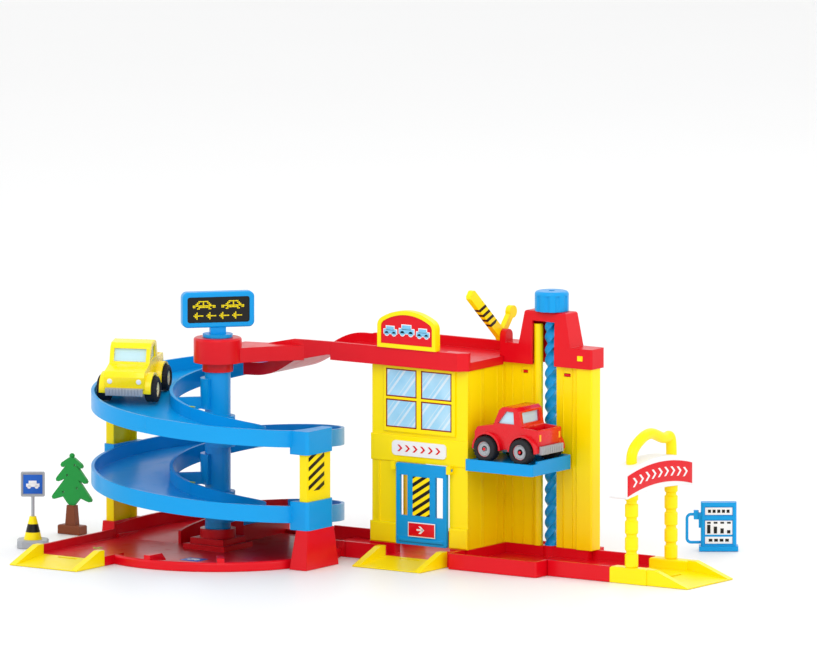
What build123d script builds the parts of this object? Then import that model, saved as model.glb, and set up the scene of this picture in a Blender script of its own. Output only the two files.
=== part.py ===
from build123d import *
import math
import os

# Toy parking garage with a spiral way down, a screw lift and loose accessories.
# Millimetres, +Z up. Origin: on the table, under the axis of the spiral column.
# +X runs along the front of the building, +Y to the back.

# ------------------------------------------------------------------ driving sizes
running_gap = 0.3            # between pieces that pass each other
fit_gap = 0.05               # radial play of a pin in its bore
skin = 3.0                   # wall of the moulded trays

# floors and trays
floor_z = 7.0                # top of every ground floor plate
tray_wall_h = 19.0           # top of the tray walls above the table
lane_w = 101.0               # straight track over its walls

# spiral
track_outer_r = 152.0        # outside of the outer kerb
track_inner_r = 54.0         # column side of the inner kerb
track_kerb_t = 4.0
track_kerb_h = 20.4          # underside of the floor to the top of the kerb
track_floor_t = 5.0
turn_drop = 91.2             # fall in one full turn
track_top_z = 229.7          # kerb top where the spiral starts, at the back
half_turns = 4
column_r = 15.5
column_wall = 2.5
column_foot_z = 12.0
column_joint_z = 122.0       # where the upper tube stands on the lower one
column_plug_h = 10.0
column_top_z = 244.0
spoke_w = 8.0
spoke_h = 14.0
sleeve_r = 21.0

# spiral base
base_r = 150.0
base_rim_h = 11.0
base_rim_w = 6.0
exit_lane_y = -160.0         # front end of the exit lane
base_join_x = 142.0          # where the base meets the building base
track_y0 = 61.0              # front of the connecting track

# pillars between the loops
pillar_t = 11.0
pillar_w = 49.0
pillar_gap = 0.6             # from the kerb to the pillar
bracket_wall = 3.0
left_pedestal_z = 26.0
bracket_drop = 3.0           # bracket below the track floor

# ramps
ramp_w = 98.0
ramp_len = 58.0
ramp_wall_t = 9.0
ramp_lip_z = 1.2
front_ramp_x = 242.0         # centre of the ramp at the front door

# building
wall_t = 3.0
build_x0 = 167.0
build_x1 = 305.0
build_y0 = 84.0
build_y1 = 198.0
wall_top_z = 238.0
door_w = 73.0
door_top_z = 118.0
door_t = 4.0
side_door_y0 = 88.0
side_door_w = 62.0
side_door_z = 100.0
lintel_z0 = 118.0
lintel_z1 = 150.0

# roof deck and bridge
deck_x0 = 114.0
deck_x1 = 307.5
deck_y0 = 72.0
deck_edge_h = 22.0
deck_floor_z = 245.0
deck_floor_t = 7.0              # its underside lies on the wall tops
deck_rail_t = 4.0
bridge_floor_t = 4.0
bridge_rail_h = 11.0
hub_r = 29.0
hub_z0 = 232.0
hub_z1 = 262.0
hub_collar_z = 221.0
hub_collar_r = 18.5

# lift
tower_x0 = 302.0
tower_x1 = 432.0
tower_y = 164.0              # front face of the tower wall
tower_wall_t = 3.0
slot_w = 22.0
screw_x = 368.0
screw_y = 170.0
screw_r = 8.3
screw_blade_w = 13.0
screw_blade_t = 10.2
screw_journal_z = 290.0
screw_pitch = 56.0
screw_z0 = 12.0
head_band_h = 24.0
head_top_z = 303.0
head_front = 13.0            # head before the screw axis
head_back = 16.0             # head behind the screw axis
head_wall = 3.0
head_foot_w = 74.0
head_crown_w = 58.0
knob_r = 20.5
knob_h = 24.0
knob_grips = 10
platform_x0 = 308.5
platform_x1 = 405.5
platform_y0 = 72.0
platform_y1 = 156.5
platform_floor_z = 129.0     # at rest
platform_t = 12.0
platform_rim_h = 5.0
lift_drop = 107.0            # from rest to the bottom
nut_h = 26.0
nut_r = 11.0
nut_z0 = 130.0
tongue_w = 20.0
tray_x0 = 299.0
tray_x1 = 426.0
tray_y0 = 50.0
right_track_x1 = 516.0
right_track_y0 = 73.0

# gate
gate_flat_len = 52.0
gate_post_w = 16.0
gate_post_step = 20.0
gate_board_w = 148.0
gate_board_t = 24.0
gate_board_z = 104.0
gate_board_h = 32.0
gate_board_rise = 6.0         # middle of the lower edge above its ends
gate_board_crown = 12.0       # the same for the upper edge
gate_hoop_half = 43.0
gate_hoop_rise = 28.5
gate_hoop_wire = 6.5

# signs, door flap, barrier
sign_w = 88.0
sign_h = 43.0
sign_t = 12.0
sign_turn = 46.0             # degrees from the building front
sign_pin_r = 5.0
arch_w = 84.0
arch_r = 70.0                # arched top edge
arch_h = 46.0
arch_t = 10.0
arch_x = 226.3               # centre of the roof sign
barrier_x = 298.0
barrier_y = 165.0
barrier_z = 269.0
barrier_t = 7.0
barrier_h = 13.0
barrier_len = 88.0
barrier_tail = 41.5
barrier_rest = 40.6          # degrees above level
barrier_pin_r = 3.0

# trucks
wheel_r = 15.0
wheel_w = 15.0
rim_r = 9.5
axle_r = 2.0
wheel_base = 51.0
truck_w = 74.0
truck_len = 94.0
truck_h = 66.0
cabin_w = 50.0
red_truck_x = 359.0
red_truck_y = 112.0
yellow_truck_turn = 200.0    # degrees round the spiral
yellow_truck_lift = 2.4      # lifts the flat truck clear of the twisted floor

# loose accessories
cone_x, cone_y = -214.0, -82.0
cone_top_z = 37.0
cone_sign_z = 76.0           # middle of the plate
tree_x, tree_y = -235.0, 30.0
pump_x, pump_y = 485.0, 356.0
view_turn = 35.0             # degrees that the loose boards are turned to the right

screw_head_r = 3.2
screw_shank_r = 1.4

# ------------------------------------------------------------------ derived sizes
deck_edge_z0 = deck_floor_z + 12.0 - deck_edge_h
deck_edge_z1 = deck_edge_z0 + deck_edge_h
track_mid_r = (track_outer_r + track_inner_r) / 2
track_w = track_outer_r - track_inner_r
track_start_z = track_top_z - track_kerb_h           # underside at the start
track_end_z = track_start_z - turn_drop * half_turns / 2
track_end_floor = track_end_z + track_floor_t
exit_lane_x0 = -track_outer_r
exit_lane_x1 = -track_inner_r
track_y1 = track_y0 + lane_w
tray_y1 = build_y1
right_track_y1 = right_track_y0 + lane_w
gate_x1 = right_track_x1 + gate_flat_len
gate_y = (right_track_y0 + right_track_y1) / 2
door_x = front_ramp_x
door_pivot_z = door_top_z - 4.0
head_y0 = screw_y - head_front
head_y1 = screw_y + head_back
head_depth = head_front + head_back
head_mid_y = (head_y0 + head_y1) / 2
band_z0 = wall_top_z
band_z1 = band_z0 + head_band_h
lift_rise = deck_floor_z - platform_floor_z
bridge_end_z = track_start_z + track_floor_t


# ------------------------------------------------------------------ helpers
def block(x0, x1, y0, y1, z0, z1):
    """Box given by its faces."""
    return Pos((x0 + x1) / 2, (y0 + y1) / 2, (z0 + z1) / 2) * Box(x1 - x0, y1 - y0, z1 - z0)


def rod(radius, z0, z1, x=0.0, y=0.0):
    """Upright cylinder."""
    return Pos(x, y, (z0 + z1) / 2) * Cylinder(radius, z1 - z0)


def rod_x(radius, x0, x1, y, z):
    """Cylinder along X."""
    return Pos((x0 + x1) / 2, y, z) * Rot(0, 90, 0) * Cylinder(radius, x1 - x0)


def rod_y(radius, y0, y1, x, z):
    """Cylinder along Y."""
    return Pos(x, (y0 + y1) / 2, z) * Rot(90, 0, 0) * Cylinder(radius, y1 - y0)


def cone_up(radius0, radius1, z0, z1, x=0.0, y=0.0):
    """Upright cone, radius0 at the foot."""
    return Pos(x, y, (z0 + z1) / 2) * Cone(radius0, radius1, z1 - z0)


def plan_prism(points, z0, z1):
    """Outline in X and Y, pulled up from z0 to z1."""
    face = make_face(Polyline(*[(x, y, z0) for x, y in points], close=True))
    return extrude(face, amount=z1 - z0, dir=(0, 0, 1))


def side_prism(points, y0, y1):
    """Outline in X and Z, pulled back from y0 to y1."""
    face = make_face(Polyline(*[(x, y0, z) for x, z in points], close=True))
    return extrude(face, amount=y1 - y0, dir=(0, 1, 0))


def end_prism(points, x0, x1):
    """Outline in Y and Z, pulled along from x0 to x1."""
    face = make_face(Polyline(*[(x0, y, z) for y, z in points], close=True))
    return extrude(face, amount=x1 - x0, dir=(1, 0, 0))


def rounded_plate(width, height, corner, thickness):
    """Upright plate in X and Z, centred, its front on y = 0 and its back on y = thickness."""
    plate = extrude(RectangleRounded(width, height, corner), amount=thickness)
    return Rot(-90, 0, 0) * Pos(0, 0, 0) * plate


def upright_edges(shape):
    """Edges that run along Z."""
    return shape.edges().filter_by(Axis.Z)


def save(node, shape):
    """Write one node."""
    export_step(shape, os.path.join("parts", node + ".step"))


def join(pieces):
    """Fuse a list of touching pieces into one solid."""
    whole = pieces[0]
    for piece in pieces[1:]:
        whole = whole + piece
    return whole


# ------------------------------------------------------------------ spiral track
def helix_sweep(points, drop_per_turn, arc_deg, end_deg, end_z):
    """Sweep an outline of (radius, height) down a helix that ends at end_deg and end_z.

    Seen from above the way down runs anticlockwise. Heights are taken from the helix itself.
    """
    rise = drop_per_turn * arc_deg / 360
    path = Helix(pitch=drop_per_turn, height=rise, radius=track_mid_r)
    plane = Plane(origin=(0, 0, 0), x_dir=(1, 0, 0), z_dir=(0, -1, 0))
    section = make_face(plane * Polyline(*points, close=True))
    swept = mirror(sweep(section, path=path, is_frenet=True), about=Plane.XZ)
    return Pos(0, 0, end_z) * Rot(0, 0, end_deg) * swept


def track_outline():
    """Channel of the track: floor with a kerb on both sides, in radius and height."""
    outer_in = track_outer_r - track_kerb_t
    inner_out = track_inner_r + track_kerb_t
    return [
        (track_inner_r, 0), (track_outer_r, 0), (track_outer_r, track_kerb_h),
        (outer_in, track_kerb_h), (outer_in, track_floor_t), (inner_out, track_floor_t),
        (inner_out, track_kerb_h), (track_inner_r, track_kerb_h),
    ]


def track_z(angle_deg):
    """Underside of the track at an angle counted from the start, at 90 degrees."""
    return track_start_z - turn_drop * (angle_deg - 90) / 360


def spoke(angle_deg):
    """Arm from the column sleeve to the inner kerb."""
    z0 = track_z(angle_deg) + 1.0
    arm = block(sleeve_r - 2.0, track_inner_r + 1.5, -spoke_w / 2, spoke_w / 2, z0, z0 + spoke_h)
    return Rot(0, 0, angle_deg) * arm


def sleeve(mid_deg, first_deg, last_deg):
    """Half ring round the column that carries the spokes of one segment."""
    z0 = track_z(last_deg) + 1.0
    z1 = track_z(first_deg) + 1.0 + spoke_h
    ring = rod(sleeve_r, z0, z1) - rod(column_r + fit_gap, z0 - 1, z1 + 1)
    half = block(0, sleeve_r + 1, -sleeve_r - 1, sleeve_r + 1, z0 - 1, z1 + 1)
    return ring & (Rot(0, 0, mid_deg) * Pos(running_gap / 2, 0, 0) * half)


def pillar_slab(side, margin, z0, z1):
    """Block round a pillar, with a margin on its sides. Side +1 is right, -1 is left."""
    x0 = track_outer_r + pillar_gap - margin
    slab = block(x0, x0 + pillar_t + 2 * margin, -pillar_w - margin, margin, z0, z1)
    return slab if side > 0 else Rot(0, 0, 180) * slab


def bracket(side, angle_deg, rise):
    """Pocket on the outer kerb that takes the end of a pillar."""
    z0 = track_z(angle_deg) - bracket_drop
    z1 = track_z(angle_deg) + track_kerb_h + rise
    x1 = track_outer_r + pillar_gap + pillar_t + bracket_wall
    x0 = track_outer_r - 14.0
    outer = block(x0, x1, -pillar_w - bracket_wall, bracket_wall, z0, z1)
    outer = fillet(upright_edges(outer).sort_by(Axis.X)[-2:], 5.0)
    outer = outer - rod(track_outer_r - track_kerb_t / 2, z0 - 1, z1 + 1)
    return outer if side > 0 else Rot(0, 0, 180) * outer


# ends of the three pillars and of the block that carries the right one
right_pedestal_z = track_z(720) - bracket_drop
right_low_z = track_z(720) + 10.0
right_high_z = track_z(360) + 8.0
left_mid_low_z = track_z(540) + 10.0
left_mid_high_z = track_z(180) + 8.0
left_low_high_z = track_z(540) + 8.0


def track_segment(index):
    """One half turn of the track, with its spokes, sleeve and pillar brackets."""
    first = 90 + 180 * index
    last = first + 180
    piece = helix_sweep(track_outline(), turn_drop, 180, last, track_z(last))
    piece = piece + sleeve((first + last) / 2, first + 45, last - 45)
    for angle in (first + 45, last - 45):
        piece = piece + spoke(angle)
    if index == 0:
        piece = piece + bracket(-1, 180, 0.0)
        piece = piece - pillar_slab(-1, fit_gap, 0, left_mid_high_z)
    if index == 1:
        piece = piece + bracket(1, 360, 5.0)
        piece = piece - pillar_slab(1, fit_gap, 0, right_high_z)
    if index == 2:
        piece = piece + bracket(-1, 540, 4.0)
        piece = piece - pillar_slab(-1, fit_gap, left_mid_low_z, 400)
        piece = piece - pillar_slab(-1, fit_gap, 0, left_low_high_z)
    if index == 3:
        piece = piece + bracket(1, 720, 11.0)
        piece = piece - pillar_slab(1, fit_gap, right_low_z, 400)
    return piece


def pillar(side, z0, z1):
    """Hollow rectangular pillar, open towards the track."""
    post = pillar_slab(side, 0.0, z0, z1)
    x0 = track_outer_r + pillar_gap
    hollow = block(x0 - 1, x0 + pillar_t - skin, -pillar_w + skin, -skin, z0 + skin, z1 - skin)
    hollow = hollow if side > 0 else Rot(0, 0, 180) * hollow
    return post - hollow


def column_tube(z0, z1, plug):
    """Column tube, with a plug on top that the next piece slips over."""
    tube = rod(column_r, z0, z1) - rod(column_r - column_wall, z0 - 1, z1 + 1)
    if plug:
        neck = column_r - column_wall - fit_gap
        plug_ring = rod(neck, z1 - column_plug_h, z1 + column_plug_h)
        plug_ring = plug_ring - rod(neck - column_wall, z1 - column_plug_h - 1, z1 + column_plug_h + 1)
        collar = rod(column_r, z1 - 2 * column_plug_h, z1) - rod(neck - column_wall, z1 - 2 * column_plug_h - 1, z1 + 1)
        tube = tube + collar + plug_ring
    return tube


# ------------------------------------------------------------------ spiral base
def base_ramp():
    """Last quarter turn: a skinned ramp from the end of the track to the base floor."""
    fall = track_end_floor - floor_z
    drop = fall * 4
    kerb_up = track_kerb_h - track_floor_t
    outer_in = track_outer_r - track_kerb_t
    inner_out = track_inner_r + track_kerb_t
    deck = [(track_inner_r, -skin), (track_outer_r, -skin), (track_outer_r, 0), (track_inner_r, 0)]
    outer = [(outer_in, -fall - 12), (track_outer_r, -fall - 12), (track_outer_r, kerb_up), (outer_in, kerb_up)]
    inner = [
        (track_inner_r, -fall - 12), (inner_out, -fall - 12), (inner_out, kerb_up), (track_inner_r, kerb_up),
    ]
    parts = [helix_sweep(outline, drop, 90, 180, floor_z) for outline in (deck, outer, inner)]
    ramp = join(parts)
    back = block(0, skin, track_inner_r, track_outer_r, 0, track_end_floor)
    ramp = ramp + Pos(-skin, 0, 0) * back
    above = block(-400, 400, -400, 400, 0, 400)
    return ramp & above


def bay_divider(angle_deg):
    """Rounded ridge between two parking bays, from the rim inwards."""
    length = 34.0
    ridge_w = 9.0
    ridge_h = base_rim_h - floor_z + 5.0
    ridge = block(base_r - length, base_r - 1.0, -ridge_w / 2, ridge_w / 2, floor_z - 1, floor_z + ridge_h)
    ridge = chamfer(ridge.edges().group_by(Axis.Z)[-1].sort_by(Axis.X)[0], ridge_h - 1.0)
    return Rot(0, 0, angle_deg) * ridge


def pedestal(side, top_z, flare):
    """Tapered block that carries a pillar."""
    margin = bracket_wall
    x_mid = track_outer_r + pillar_gap + pillar_t / 2
    foot = Pos(x_mid - flare * 0.2, -pillar_w / 2, 0) * Rectangle(pillar_t + 2 * margin + flare, pillar_w + 2 * margin + 2 * flare)
    crown = Pos(x_mid, -pillar_w / 2, top_z) * Rectangle(pillar_t + 2 * margin, pillar_w + 2 * margin)
    body = loft([foot.face(), crown.face()], ruled=True)
    return body if side > 0 else Rot(0, 0, 180) * body


def spiral_base():
    """Round base with rim, bays, hub block, pedestals, exit lane and connecting track."""
    plate_z = floor_z - skin
    disc = rod(base_r, plate_z, floor_z)
    rim = rod(base_r, 0, base_rim_h) - rod(base_r - base_rim_w, -1, base_rim_h + 1)
    rim = fillet(rim.edges().group_by(Axis.Z)[-1].sort_by(SortBy.LENGTH)[-1], 3.0)
    lane_gap = block(exit_lane_x0 + skin, exit_lane_x1 - skin, exit_lane_y, 0, floor_z, 60)
    track_gap = block(60, 200, track_y0 + skin, track_y1 - skin, floor_z, 60)
    base = disc + (rim - lane_gap - track_gap)
    # exit lane to the front
    lane = block(exit_lane_x0, exit_lane_x1, exit_lane_y, 0, plate_z, floor_z)
    kerb_out = block(exit_lane_x0, exit_lane_x0 + skin, exit_lane_y, 2, 0, tray_wall_h - 2)
    kerb_in = block(exit_lane_x1 - skin, exit_lane_x1, exit_lane_y, -120, 0, base_rim_h)
    lane_end = block(exit_lane_x0, exit_lane_x1, exit_lane_y, exit_lane_y + skin, 0, floor_z)
    base = base + lane + kerb_out + kerb_in + lane_end
    # connecting track to the building
    link = block(90, base_join_x, track_y0, track_y1, plate_z, floor_z)
    link_front = block(122, base_join_x, track_y0, track_y0 + skin, 0, tray_wall_h)
    link_back = block(60, base_join_x, track_y1 - skin, track_y1, 0, tray_wall_h)
    link_end = block(base_join_x - skin, base_join_x, track_y0, track_y1, 0, floor_z)
    base = base + link + link_front + link_back + link_end
    base = base + base_ramp()
    # hub block with two steps
    base = base + block(-30, 30, -30, 30, plate_z, 13.0)
    base = base + block(-24, 24, -24, 24, 12.0, 20.0)
    base = base + rod(column_r + 6.0, plate_z, 31.0)
    for angle in (-90, -54):
        base = base + bay_divider(angle)
    base = base + pedestal(1, right_pedestal_z, 7.0) + pedestal(-1, left_pedestal_z, 3.0)
    strip = block(track_mid_r, track_outer_r + pillar_gap + pillar_t, -pillar_w, 0, plate_z, floor_z)
    base = base + strip + Rot(0, 0, 180) * strip
    base = base - pillar_slab(-1, fit_gap, left_pedestal_z - 10.0, 60)
    # ribs and the foot under the column
    base = base + rod(30.0, 0, floor_z)
    for angle in (0, 45, 90, 135):
        rib = block(-base_r + base_rim_w, base_r - base_rim_w, -1.5, 1.5, 0.0, floor_z - 1)
        base = base + Rot(0, 0, angle) * rib
    base = base - rod(column_r + fit_gap, column_foot_z, 60)
    base = base - block(exit_lane_x0 + skin, exit_lane_x1 - skin, exit_lane_y + skin, -30, floor_z, 60)
    return base


# ------------------------------------------------------------------ ramps and trays
def ramp(length, back_z):
    """Drive-up ramp with side walls, low edge on y = 0, back on y = length, centred on x = 0."""
    half = ramp_w / 2
    wedge = [(0, 0), (length, 0), (length, back_z), (0, ramp_lip_z)]
    body = end_prism(wedge, -half, half)
    under = [(8, -1), (length - skin, -1), (length - skin, back_z - skin), (8, 0.2)]
    body = body - end_prism(under, -half + skin, half - skin)
    wall = [(0, 0), (length, 0), (length, tray_wall_h), (length - 10, tray_wall_h), (0, ramp_lip_z)]
    for x0 in (-half, half - ramp_wall_t):
        body = body + end_prism(wall, x0, x0 + ramp_wall_t)
    slot = block(-14, 14, length - 9, length - 5, -1, back_z + 1)
    return body - slot


def exit_ramp():
    """Ramp at the end of the exit lane."""
    centre = (exit_lane_x0 + exit_lane_x1) / 2
    return Pos(centre, exit_lane_y - ramp_len, 0) * ramp(ramp_len, floor_z)


def front_ramp():
    """Ramp in front of the door."""
    return Pos(front_ramp_x, track_y0 - ramp_len, 0) * ramp(ramp_len, floor_z)


def tray(x0, x1, y0, y1, wall_h):
    """Open tray on the table: floor plate and four walls down to the table."""
    plate = block(x0, x1, y0, y1, floor_z - skin, floor_z)
    walls = block(x0, x1, y0, y1, 0, wall_h)
    walls = fillet(upright_edges(walls), 2.5)
    walls = walls - block(x0 + skin, x1 - skin, y0 + skin, y1 - skin, -1, wall_h + 1)
    return (plate & block(x0 + 1, x1 - 1, y0 + 1, y1 - 1, 0, 99)) + walls


def rib_grid(x0, x1, y0, y1, count):
    """Ribs under a tray floor."""
    ribs = []
    for number in range(1, count + 1):
        x = x0 + (x1 - x0) * number / (count + 1)
        ribs.append(block(x - 1, x + 1, y0 + 1, y1 - 1, 0, floor_z - 1))
    y = (y0 + y1) / 2
    ribs.append(block(x0 + 1, x1 - 1, y - 1, y + 1, 0, floor_z - 1))
    return join(ribs)


def seat(x0, x1, y0, y1):
    """Raised ledge that a wall stands on."""
    return block(x0, x1, y0, y1, floor_z - 1, tray_wall_h)


def building_base():
    """Red tray under the building, open to the spiral base and to the front ramp."""
    x0, x1 = base_join_x, tray_x0
    base = tray(x0, x1, track_y0, build_y1, tray_wall_h)
    base = base + rib_grid(x0, x1, track_y0, build_y1, 3)
    ledge = 8.0
    half_gap = ramp_w / 2 - ramp_wall_t
    base = base + seat(build_x0 - 2, door_x - half_gap, build_y0 - 4, build_y0 + ledge)
    base = base + seat(door_x + half_gap, x1 - 1, build_y0 - 4, build_y0 + ledge)
    base = base + seat(build_x0 - 2, build_x0 + wall_t + 2, build_y0, side_door_y0)
    base = base + seat(build_x0 - 2, build_x0 + wall_t + 2, side_door_y0 + side_door_w, build_y1 - 1)
    base = base + seat(x1 - 8, x1 - 1, build_y0, build_y1 - 1)
    base = base - block(x0 - 1, x0 + skin, track_y0 + skin, track_y1 - skin, floor_z, 60)
    base = base - block(door_x - half_gap, door_x + half_gap, track_y0 - 1, track_y0 + skin + 1, floor_z, 60)
    return base


def lift_tray():
    """Red tray under the lift, open to the track on its right, with the foot bearing of the screw."""
    tray_base = tray(tray_x0, tray_x1, tray_y0, tray_y1, tray_wall_h)
    tray_base = tray_base + rib_grid(tray_x0, tray_x1, tray_y0, tray_y1, 3)
    tray_base = tray_base + seat(tray_x0 + 1, tray_x0 + 9, build_y0, tray_y1 - 1)
    tray_base = tray_base + seat(tray_x0 + 1, tray_x1 - 1, tower_y - 2, tower_y + tower_wall_t + 2)
    opening = block(tray_x1 - skin - 1, tray_x1 + 1, right_track_y0 + skin, tower_y - 2, floor_z, 60)
    tray_base = tray_base - opening
    foot = rod(slot_w / 2 - 0.5, 0, screw_z0 + 8.0, screw_x, screw_y)
    bore = rod(screw_r + fit_gap, screw_z0, screw_z0 + 20.0, screw_x, screw_y)
    return (tray_base + foot) - bore


def right_track():
    """Straight track from the lift tray to the gate, open at both ends."""
    x0, x1 = tray_x1, right_track_x1
    track = tray(x0, x1, right_track_y0, right_track_y1, tray_wall_h)
    track = track + rib_grid(x0, x1, right_track_y0, right_track_y1, 2)
    track = track - block(x0 - 1, x0 + skin, right_track_y0 + skin, right_track_y1 - skin, floor_z, 60)
    return track - block(x1 - skin, x1 + 1, right_track_y0 + skin, right_track_y1 - skin, floor_z, 60)


def gate_base():
    """Yellow end piece: flat part under the gate, then the ramp down to the table."""
    x0, x1 = right_track_x1, gate_x1
    flat = block(x0, x1, right_track_y0, right_track_y1, floor_z - skin, floor_z)
    flat = flat + block(x1 - skin, x1, right_track_y0, right_track_y1, 0, floor_z)
    flat = flat + block(x0, x0 + skin, right_track_y0, right_track_y1, 0, floor_z)
    for y0 in (right_track_y0, right_track_y1 - gate_post_w):
        foot = block(x0, x1, y0, y0 + gate_post_w, 0, tray_wall_h)
        foot = chamfer(foot.edges().group_by(Axis.Z)[-1], 1.5)
        flat = flat + foot
    slope = Rot(0, 0, 90) * ramp(ramp_len, floor_z)
    return flat + Pos(x1 + ramp_len, gate_y, 0) * slope


# ------------------------------------------------------------------ building
def front_wall():
    """Front wall with the door opening, the lintel band, plinth pads and a pilaster."""
    wall = block(build_x0, build_x1, build_y0, build_y0 + wall_t, tray_wall_h, wall_top_z)
    band = block(build_x0 - 1.5, build_x1 + 1.0, build_y0 - 1.5, build_y0 + 1, lintel_z0, lintel_z1)
    wall = wall + fillet(band.edges().group_by(Axis.Y)[0], 1.0)
    half = door_w / 2
    for x0, x1 in ((build_x0 - 1.5, door_x - half - 1.0), (door_x + half + 1.0, build_x1 + 1.0)):
        pad = block(x0, x1, build_y0 - 4.0, build_y0 + 1, tray_wall_h, tray_wall_h + 25.0)
        wall = wall + chamfer(pad.edges().group_by(Axis.Y)[0], 1.5)
    left_face = block(build_x0 + 9, build_x0 + 11, build_y0 - 1.5, build_y0, tray_wall_h + 25.0, lintel_z0)
    wall = wall + left_face
    opening = block(door_x - half - 0.5, door_x + half + 0.5, build_y0 - 9, build_y0 + 9, 0, door_top_z + 0.5)
    wall = wall - opening
    # lugs that hold the door pivots, on both sides of the opening
    for side in (-1, 1):
        x0 = door_x + side * (half + 3.5)
        lug = block(x0 - 3.0, x0 + 3.0, build_y0 - 8.0, build_y0 + 1, door_pivot_z - 5, lintel_z0 + 1)
        wall = wall + lug
        wall = wall - rod_x(2.0 + fit_gap, x0 - 3.5, x0 + 3.5, build_y0 - 4.0, door_pivot_z)
    return wall


def left_wall():
    """Left wall with the doorway to the connecting track."""
    y0, y1 = build_y0 + wall_t, build_y1 - deck_rail_t - running_gap
    wall = block(build_x0, build_x0 + wall_t, y0, y1, tray_wall_h, wall_top_z)
    doorway = block(build_x0 - 1, build_x0 + 9, side_door_y0, side_door_y0 + side_door_w, 0, side_door_z)
    return wall - doorway


def right_wall():
    """Right wall, beside the lift."""
    y0, y1 = build_y0 + wall_t, build_y1 - deck_rail_t - running_gap
    wall = block(build_x1 - wall_t, build_x1, y0, y1, tray_wall_h, wall_top_z)
    for y in (build_y0 + 28.0, build_y0 + 32.0):
        wall = wall + block(build_x1 - 1, build_x1 + 0.8, y, y + 1.2, tray_wall_h, wall_top_z - 4)
    return wall


def tower_wall():
    """Wall behind the lift with the full-height slot and the corner pillar."""
    x0 = build_x1
    wall = block(x0, tower_x1, tower_y, tower_y + tower_wall_t, tray_wall_h, wall_top_z)
    pillar_box = block(tower_x1 - 23, tower_x1, tower_y - 4.0, tower_y + 16.0, tray_wall_h, wall_top_z)
    pillar_box = fillet(upright_edges(pillar_box), 2.0)
    wall = wall + pillar_box
    wall = wall + block(screw_x + slot_w / 2 + 22, screw_x + slot_w / 2 + 23.5, tower_y - 1, tower_y, 20, wall_top_z)
    left_edge = screw_x - slot_w / 2
    bead = rod(5.5, tray_wall_h, head_top_z - 16.0, left_edge - 5.5, tower_y + 2.5)
    wall = wall + bead
    slot = block(left_edge, left_edge + slot_w, tower_y - 6, tower_y + 9, 0, wall_top_z + 90)
    wall = wall - slot
    for x in (screw_x - 39.0, screw_x + 22.0):
        wall = wall - block(x, x + 9.0, tower_y - 2, tower_y + 5, wall_top_z - 12, wall_top_z - 8)
    return wall


def window_panel():
    """Raised panel with four recessed window panes."""
    x0, x1 = build_x0 + 18.0, build_x0 + 121.0
    z0, z1 = lintel_z1 + 4.0, wall_top_z - 4.0
    panel = block(x0, x1, build_y0 - 3.0, build_y0, z0, z1)
    panel = fillet(panel.edges().group_by(Axis.Y)[0], 1.2)
    for pane in pane_boxes():
        px0, px1, pz0, pz1 = pane
        panel = panel - block(px0, px1, build_y0 - 5.0, build_y0 - 2.0, pz0, pz1)
    return panel


def pane_boxes():
    """Ranges in X and Z of the four panes."""
    boxes = []
    pane_h = (wall_top_z - lintel_z1 - 20.0) / 2
    for x0 in (build_x0 + 22.0, build_x0 + 72.5):
        for z0 in (lintel_z1 + 9.5, lintel_z1 + 12.5 + pane_h):
            boxes.append((x0, x0 + 44.0, z0, z0 + pane_h))
    return boxes


def window_panes():
    """Four thin panes in the recesses of the panel."""
    panes = []
    for px0, px1, pz0, pz1 in pane_boxes():
        gap = 0.1
        panes.append(block(px0 + gap, px1 - gap, build_y0 - 2.6, build_y0 - 2.0, pz0 + gap, pz1 - gap))
    return Compound(children=panes)


def name_plate():
    """White rounded plate on the lintel."""
    plate = rounded_plate(78.0, 18.0, 5.0, 1.6)
    return Pos(door_x - 5.5, build_y0 - 1.5 - 1.6, (lintel_z0 + lintel_z1) / 2 + 1) * plate


# ------------------------------------------------------------------ roof deck and bridge
def roof_deck():
    """Recessed parking deck: floor, skirt, front and rear rails, open to the lift and the bridge."""
    back = build_y1
    outline = [
        (deck_x0, deck_y0), (deck_x1 - 10, deck_y0), (deck_x1, deck_y0 + 10),
        (deck_x1, head_y0 - running_gap), (tower_x0 - running_gap, head_y0 - running_gap),
        (tower_x0 - running_gap, back), (build_x0, back), (deck_x0, back - 30),
    ]
    slab = plan_prism(outline, deck_edge_z0, deck_floor_z)
    rails = plan_prism(outline, deck_floor_z - 1, deck_edge_z1)
    rails = rails - block(deck_x0 - 1, 400, deck_y0 + deck_rail_t, back - deck_rail_t, 0, 400)
    rails = rails - block(deck_x1 - 18, 400, deck_y0 - 1, back + 1, deck_floor_z, 400)
    corner = block(deck_x1 - 30, deck_x1, deck_y0, deck_y0 + 14, deck_floor_z - 1, deck_edge_z1)
    corner = corner & plan_prism(outline, 0, 400)
    rails = rails + corner
    left_back = [(deck_x0, back - 30), (build_x0, back), (build_x0, back - 5), (deck_x0, back - 35)]
    rails = rails + plan_prism(left_back, deck_floor_z - 1, deck_edge_z1)
    under = plan_prism([
        (deck_x0 - 1, deck_y0 + deck_rail_t), (deck_x1 - 12, deck_y0 + deck_rail_t),
        (deck_x1 - deck_rail_t + 1.5, deck_y0 + 12), (deck_x1 - deck_rail_t + 1.5, head_y0 + 1),
        (tower_x0 - 1, head_y0 + 1), (tower_x0 - 1, back - deck_rail_t),
        (build_x0, back - deck_rail_t), (deck_x0 - 1, back - 36),
    ], 0, deck_floor_z - deck_floor_t)
    return slab + rails - under


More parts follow.
